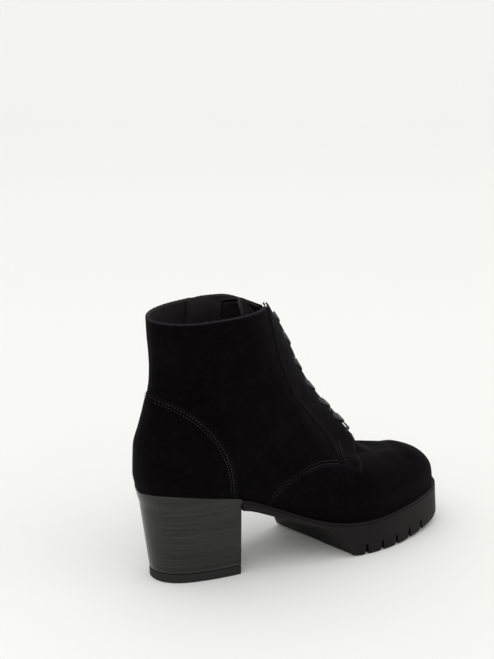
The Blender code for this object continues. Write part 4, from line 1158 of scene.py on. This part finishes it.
def make_heel(cover, rubber):
    """Covered heel with a rolled rim at the seat, on its rubber lift."""
    foot = LIFT_THICKNESS + GAP
    shares = [(0.0, -0.0004), (0.008, 0.0)] + [(k / 16, 0.0) for k in range(1, 15)]
    shares += [(0.90, 0.0002), (0.93, 0.0005), (0.96, 0.0008), (0.985, 0.0010)]
    ladders = []
    for share, grow in shares:
        rungs = []
        for pair in heel_rungs(share):
            rungs.append(tuple(Vector((p.x, p.y, blend(foot, bed_height(p.x) - GAP, share)))
                               for p in grown(pair, grow)))
        ladders.append(rungs)
    turns = turns_between(0.0, breast_turn())
    for lift_share, grow in ((0.08, 0.0), (0.4, 0.0), (0.8, 0.0), (0.93, -0.0002),
                             (1.0, -0.0007), (1.0, -0.0017), (0.0, -0.0021)):
        rungs = []
        for turn in turns:
            along = turn / turns[-1]
            rise = lift_share * (blend(RIM_BACK, RIM_BREAST, along) + RIM_BOW * sin(pi * along))
            pair = [seat_point(turn, side, rise, HEEL_RIM_PROUD + grow) for side in (OUTER, INNER)]
            rungs.append(tuple(pair) if turn > 0 else ((pair[0] + pair[1]) / 2,) * 2)
        ladders.append(rungs)
    points, faces = solid_from_rings(ladders)
    piece("boot_heel", points, faces, cover, "heel_cover", ("heel_block",))
    ladders = []
    for z, grow in ((0.0, -0.0008), (0.0006, -0.0001), (0.0012, 0.0), (LIFT_THICKNESS - 0.0008, 0.0),
                    (LIFT_THICKNESS - 0.0002, -0.0002), (LIFT_THICKNESS, -0.0008)):
        ladders.append([tuple(Vector((p.x, p.y, z)) for p in grown(pair, grow)) for pair in heel_rungs(0.0)])
    points, faces = solid_from_rings(ladders)
    piece("boot_lift", points, faces, rubber, "lift_rubber", ("heel_lift",))


def wall_sheet(name, rows, columns, spot, *finish):
    """A sheet on the inner wall; spot gives its x and z from the shares across and up."""
    points, normals = [], []
    for i in range(rows):
        for j in range(columns):
            point, normal = wall_normal(*spot(j / (columns - 1), i / (rows - 1)), INNER)
            points.append(point)
            normals.append(normal)
    soft_sheet(name, points, normals, rows, columns, *finish)


def make_zip(tape, metal):
    """Tape in the groove, with two rows of teeth."""
    def spot(across, up):
        z = blend(ZIP_FOOT_HEIGHT, COLLAR_HEIGHT - ZIP_END, up)
        return zip_x(z) + ZIP_WIDTH / 2 * (2 * across - 1), z

    wall_sheet("zip_tape", 60, 9, spot, -0.0006, 0.0007, 0.0004, tape, "zip_tape", ("zip_strip",))
    points, faces = [], []
    z, side = ZIP_FOOT_HEIGHT + 0.001, 1
    while z < COLLAR_HEIGHT - SLIDER_DROP:
        _, normal = wall_normal(zip_x(z), z, INNER, PROBE / 2)
        base = side_point(zip_x(z), z, INNER, -PROBE / 2)
        up = (side_point(zip_x(z + PROBE), z + PROBE, INNER, -PROBE / 2) - base).normalized()
        across = normal.cross(up)
        spot_at = base + across * side * TOOTH_OFFSET
        first = len(points)
        for depth, size in ((0.0, 1.0), (TOOTH_HEIGHT, 0.7)):
            for a, b in ((-1, -1), (1, -1), (1, 1), (-1, 1)):
                points.append(spot_at + across * a * TOOTH_LENGTH * size + up * b * TOOTH_WIDTH * size
                              + normal * depth)
        for face in ((0, 1, 2, 3), (4, 5, 6, 7), (0, 1, 5, 4), (1, 2, 6, 5), (2, 3, 7, 6), (3, 0, 4, 7)):
            faces.append(tuple(first + k for k in face))
        z += TOOTH_PITCH / 2
        side = -side
    piece("zip_teeth", points, faces, metal, "zip_metal")


def make_guard(lining):
    """Leather flap behind the zip, with its top front corner rounded off."""
    def spot(across, up):
        top = COLLAR_HEIGHT - GUARD_DROP - GUARD_ROUND * max(2 * across - 1, 0.0) ** 2
        return blend(GUARD_BACK_X, GUARD_FRONT_X, across), blend(GUARD_FOOT_HEIGHT, top, up)

    wall_sheet("guard_flap", 26, 18, spot, -WALL - GAP, GUARD_THICKNESS, 0.0006, lining, "lining",
               ("zip_guard",))


def make_footbed(lining):
    """Padded footbed with a rounded edge, in place of the insole."""
    turns = [k / FOOTBED_STEPS for k in range(FOOTBED_STEPS + 1)]
    rings = []
    for inset, z in ((0.0008, 0.0), (0.0, 0.0005), (0.0, INSOLE_THICKNESS - 0.0008),
                     (0.0004, INSOLE_THICKNESS - 0.0002), (0.0012, INSOLE_THICKNESS)):
        rungs = []
        for turn in turns:
            pair = [skin(0.0, turn, side, -WALL - GAP * 1.5 - inset) for side in (OUTER, INNER)]
            if turn in (0.0, 1.0):
                pair = [(pair[0] + pair[1]) / 2] * 2
            rungs.append(tuple(point + Vector((0, 0, GAP / 2 + z)) for point in pair))
        rings.append(rungs)
    bed = bare_mesh("footbed", *solid_from_rings(rings))
    dress(bed, lining, ("insole",), radians(60))


def make_tab(suede):
    """Folded suede tab on the zip's pull, with rounded corners and edges."""
    _, slope = zip_frame()
    turn = Matrix.Rotation(slope * PULL_STAND_OFF, 3, "X")
    low = PULL_BAR / 2 - PULL_LENGTH + TAB_OVERLAP - TAB_LENGTH
    points, faces = [], []
    half_width, half_thick = TAB_WIDTH / 2, TAB_THICKNESS / 2
    profile = [(-half_thick, 0.0009), (-half_thick + 0.0003, 0.0003), (-half_thick + 0.0009, 0.0),
               (half_thick - 0.0009, 0.0), (half_thick - 0.0003, 0.0003), (half_thick, 0.0009)]
    corners = ((1, 1, 0.0012), (-1, 1, 0.0012), (-1, -1, 0.0030), (1, -1, 0.0030))
    ring = 0
    for y, inset in profile:
        outline = []
        for q, (sign_x, sign_z, radius) in enumerate(corners):
            centre_x = sign_x * (half_width - radius)
            centre_z = low + (TAB_LENGTH - radius if sign_z > 0 else radius)
            for step in range(7):
                angle = (q + step / 6) * pi / 2
                reach = radius - inset
                outline.append((centre_x + cos(angle) * reach, centre_z + sin(angle) * reach))
        ring = len(outline)
        points += [turn @ Vector((x, y, z)) + hinge_point() for x, z in outline]
    faces += grid_faces(len(profile), ring, wrap=True)
    faces += [tuple(range(ring)), tuple(range((len(profile) - 1) * ring, len(profile) * ring))]
    piece("pull_tab", points, faces, suede, "suede", ("zip_tab",), body="pull")


# Materials
def new_material(name):
    material = bpy.data.materials.new(name)
    material.use_nodes = True
    return material, material.node_tree, material.node_tree.nodes["Principled BSDF"]


def fill(tree, made, inputs):
    """Fills a node's inputs, each with a value or from the socket that feeds it."""
    for key, value in inputs.items():
        if isinstance(value, bpy.types.NodeSocket):
            tree.links.new(value, made.inputs[key])
        else:
            made.inputs[key].default_value = value
    return made


def node(tree, kind, inputs):
    """A new shader node with its inputs filled."""
    return fill(tree, tree.nodes.new(kind), inputs)


def noise(tree, scale, detail=4.0, roughness=0.6, stretch=(1, 1, 1)):
    """Noise over the object's own coordinates."""
    place = tree.nodes.new("ShaderNodeTexCoord").outputs["Object"]
    mapping = node(tree, "ShaderNodeMapping", {"Vector": place, "Scale": stretch})
    made = node(tree, "ShaderNodeTexNoise", {"Vector": mapping.outputs["Vector"], "Scale": scale,
                                             "Detail": detail, "Roughness": roughness})
    return made.outputs["Fac"]


def ramp(tree, source, stops):
    """A colour ramp over a value."""
    made = node(tree, "ShaderNodeValToRGB", {"Fac": source})
    elements = made.color_ramp.elements
    while len(elements) < len(stops):
        elements.new(0.5)
    for element, (place, colour) in zip(elements, stops):
        element.position = place
        element.color = (*colour, 1.0)
    return made.outputs["Color"]


# Places of the colour mixer's factor, two colours and result among its sockets
MIX_INPUTS, MIX_RESULT = (0, 6, 7), 2


def mix(tree, share, low, high, kind="MIX"):
    """Mixes two colours, each a socket or a colour."""
    made = tree.nodes.new("ShaderNodeMix")
    made.data_type = "RGBA"
    made.blend_type = kind
    colours = [(*value, 1.0) if isinstance(value, tuple) else value for value in (low, high)]
    return fill(tree, made, dict(zip(MIX_INPUTS, (share, *colours)))).outputs[MIX_RESULT]


def bump(tree, shader, sources, distance):
    """Chains bumps of several heights into the shader's normal."""
    normal = {}
    for height, strength in sources:
        made = node(tree, "ShaderNodeBump", {"Height": height, "Strength": strength,
                                             "Distance": distance, **normal})
        normal = {"Normal": made.outputs["Normal"]}
    fill(tree, shader, normal)


def suede_material():
    material, tree, shader = new_material("suede")
    patches, cloud = noise(tree, 34.0, 5.0, 0.62), noise(tree, 150.0, 4.0, 0.6)
    nap = noise(tree, 1500.0, 3.0, 0.7)
    base = ramp(tree, patches, ((0.30, (0.0010, 0.0007, 0.0009)), (0.62, (0.0018, 0.0013, 0.0016)),
                                (0.80, (0.0034, 0.0027, 0.0031))))
    scuff = ramp(tree, cloud, ((0.52, (0, 0, 0)), (0.74, (0.35, 0.35, 0.35))))
    base = mix(tree, scuff, base, (0.0055, 0.0048, 0.0052))
    # lighter suede where the wear_and_highlight attribute is set: painted highlight along the collar's and
    # the tongue's edges, wear and painted highlight on the panels' edges, and a lighter back seam
    wear_and_highlight = tree.nodes.new("ShaderNodeAttribute")
    wear_and_highlight.attribute_name = "wear_and_highlight"
    base = mix(tree, wear_and_highlight.outputs["Fac"], base, (0.024, 0.022, 0.026))
    fill(tree, shader, {"Base Color": base, "Roughness": 0.92, "Specular IOR Level": 0.03,
                        "Sheen Weight": 0.034, "Sheen Roughness": 0.42,
                        "Sheen Tint": (0.80, 0.74, 0.80, 1.0)})
    bump(tree, shader, ((cloud, 0.25), (nap, 0.45)), 0.0006)
    return material


def plain_material(name, low, high, roughness, specular, scale, strength, distance=0.0003,
                   stretch=(1, 1, 1)):
    """A surface whose colour, gloss and relief wander with fine noise, in streaks where it is stretched."""
    material, tree, shader = new_material(name)
    fine, broad = noise(tree, scale, 4.0, 0.6, stretch), noise(tree, scale / 12, 3.0, 0.5)
    tint = fine if stretch != (1, 1, 1) else broad
    gloss = node(tree, "ShaderNodeMapRange", {"Value": broad, "To Min": roughness - 0.05,
                                              "To Max": roughness + 0.05})
    fill(tree, shader, {"Base Color": ramp(tree, tint, ((0.3, low), (0.7, high))),
                        "Roughness": gloss.outputs["Result"], "Specular IOR Level": specular})
    bump(tree, shader, ((fine, strength),), distance)
    return material


def lace_material():
    material, tree, shader = new_material("lace")
    place = tree.nodes.new("ShaderNodeUVMap")
    place.uv_map = "weave"
    waves = []
    for angle in (0.9, -0.9):
        mapping = node(tree, "ShaderNodeMapping", {"Vector": place.outputs["UV"], "Rotation": (0, 0, angle)})
        wave = node(tree, "ShaderNodeTexWave", {"Vector": mapping.outputs["Vector"], "Scale": 0.42,
                                                "Distortion": 0.3})
        waves.append(wave.outputs["Color"])
    weave = mix(tree, 1.0, *waves, "LIGHTEN")
    colour = mix(tree, weave, (0.012, 0.013, 0.014), (0.040, 0.043, 0.047))
    fill(tree, shader, {"Base Color": colour, "Roughness": 0.8, "Specular IOR Level": 0.3,
                        "Sheen Weight": 0.15})
    bump(tree, shader, ((weave, 0.5),), 0.0003)
    return material


def metal_material():
    material, tree, shader = new_material("zip_metal")
    fine = noise(tree, 2200.0, 2.0, 0.5, (1, 1, 6))
    colour = ramp(tree, fine, ((0.3, (0.20, 0.20, 0.20)), (0.7, (0.34, 0.33, 0.32))))
    fill(tree, shader, {"Base Color": colour, "Metallic": 1.0, "Roughness": 0.28})
    bump(tree, shader, ((fine, 0.08),), 0.0002)
    return material


def soften(name, width, material):
    """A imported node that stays, with rounded edges and its finish."""
    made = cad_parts[name]
    made.data.materials.clear()
    made.data.materials.append(material)
    for polygon in made.data.polygons:
        polygon.material_index = 0
    bevel = made.modifiers.new("edges", "BEVEL")
    bevel.width = width
    bevel.segments = 3
    bevel.limit_method = "ANGLE"
    bevel.angle_limit = radians(40)


def make_stage():
    """Pale floor that curves up behind the boot."""
    bend, start = 1.2, 1.6
    curve = [(start + bend * sin(a * pi / 32), bend - bend * cos(a * pi / 32)) for a in range(17)]
    profile = [(-3.0, 0.0), *curve, (start + bend, 4.0)]
    away = Vector((0.515, 0.857, 0))
    across = Vector((away.y, -away.x, 0))
    points = [away * run + across * reach + Vector((0, 0, z)) for run, z in profile for reach in (-4.0, 4.0)]
    floor = bare_mesh("floor", points, grid_faces(len(profile), 2))
    floor.data.shade_smooth()
    material, tree, shader = new_material("floor")
    reach = tree.nodes.new("ShaderNodeVectorMath")
    reach.operation = "LENGTH"
    fill(tree, reach, {0: tree.nodes.new("ShaderNodeTexCoord").outputs["Object"]})
    share = node(tree, "ShaderNodeMapRange", {"Value": reach.outputs["Value"], "From Min": 0.25,
                                              "From Max": 1.8})
    pale = ramp(tree, share.outputs["Result"], ((0.0, (0.882, 0.880, 0.860)), (1.0, (0.882, 0.880, 0.872))))
    fill(tree, shader, {"Base Color": pale, "Roughness": 0.9, "Specular IOR Level": 0.1})
    floor.data.materials.append(material)


def make_light(name, place, size, power):
    """A square soft light aimed at the boot's middle."""
    data = bpy.data.lights.new(name, "AREA")
    data.size, data.energy = size, power
    made = linked(name, data)
    made.location = place
    made.rotation_euler = (LAMP_AIM - Vector(place)).to_track_quat("-Z", "Y").to_euler()


# The photograph's view, in degrees and metres
VIEW_AZIMUTH, VIEW_ELEVATION, VIEW_DISTANCE = -31.0, 17.0, 1.265
AIM = Vector((0.08934, 0.0, 0.1692))
LENS = 99.99
LAMP_AIM = Vector((0.0, 0.0, 0.09))


def make_camera():
    data = bpy.data.cameras.new("camera")
    data.lens, data.sensor_width = LENS, 36.0
    data.clip_start, data.clip_end = 0.05, 30.0
    camera = linked("camera", data)
    azimuth, elevation = radians(VIEW_AZIMUTH), radians(VIEW_ELEVATION)
    back = Vector((sin(azimuth) * cos(elevation), -cos(azimuth) * cos(elevation), sin(elevation)))
    camera.location = AIM + ROOT + back * VIEW_DISTANCE
    camera.rotation_euler = (-back).to_track_quat("-Z", "Y").to_euler()
    bpy.context.scene.camera = camera


def make_world():
    world = bpy.data.worlds.new("studio")
    world.use_nodes = True
    background = world.node_tree.nodes["Background"]
    background.inputs["Color"].default_value = (0.96, 0.96, 0.95, 1.0)
    background.inputs["Strength"].default_value = 1.02
    bpy.context.scene.world = world
    bpy.context.scene.view_settings.view_transform = "Standard"


suede = suede_material()
# Darker and lighter colour, roughness, specular, scale of the noise, strength of the relief
lining = plain_material("lining", (0.009, 0.007, 0.008), (0.020, 0.016, 0.017), 0.62, 0.2, 900.0, 0.25)
rubber = plain_material("sole_rubber", (0.0050, 0.0040, 0.0042), (0.0072, 0.0058, 0.0060), 0.56, 0.12,
                        700.0, 0.20)
lift = plain_material("lift_rubber", (0.0040, 0.0040, 0.0040), (0.0070, 0.0070, 0.0070), 0.62, 0.30,
                      700.0, 0.25)
cover = plain_material("heel_cover", (0.0003, 0.0003, 0.0003), (0.0150, 0.0142, 0.0146), 0.25, 0.36,
                       260.0, 0.45, 0.0002, (0.06, 0.06, 2.6))
tape = plain_material("zip_tape", (0.008, 0.008, 0.009), (0.014, 0.014, 0.015), 0.85, 0.2, 1800.0, 0.5)
stitching = plain_material("stitching", (0.016, 0.015, 0.016), (0.034, 0.033, 0.035), 0.75, 0.3, 1800.0, 0.3)
lace = lace_material()
metal = metal_material()

edge = open_edge()
make_suede(suede, lining, edge)
make_tongue(suede, lining)
make_laces(lace)
make_stitches(stitching, edge)
make_sole(rubber)
make_heel(cover, lift)
make_zip(tape, metal)
make_guard(lining)
soften("zip_slider", 0.0004, metal)
soften("zip_pull", 0.0003, metal)
make_tab(suede)
make_footbed(lining)
make_stage()
make_camera()
make_world()
for lamp in (("key", (-1.3, -1.5, 1.9), 1.4, 6.5), ("top", (0.2, 0.5, 2.2), 1.8, 3.0),
             ("left", (-2.0, -0.1, 0.7), 1.0, 3.6), ("right", (1.9, -1.3, 0.7), 1.0, 3.2)):
    make_light(*lamp)
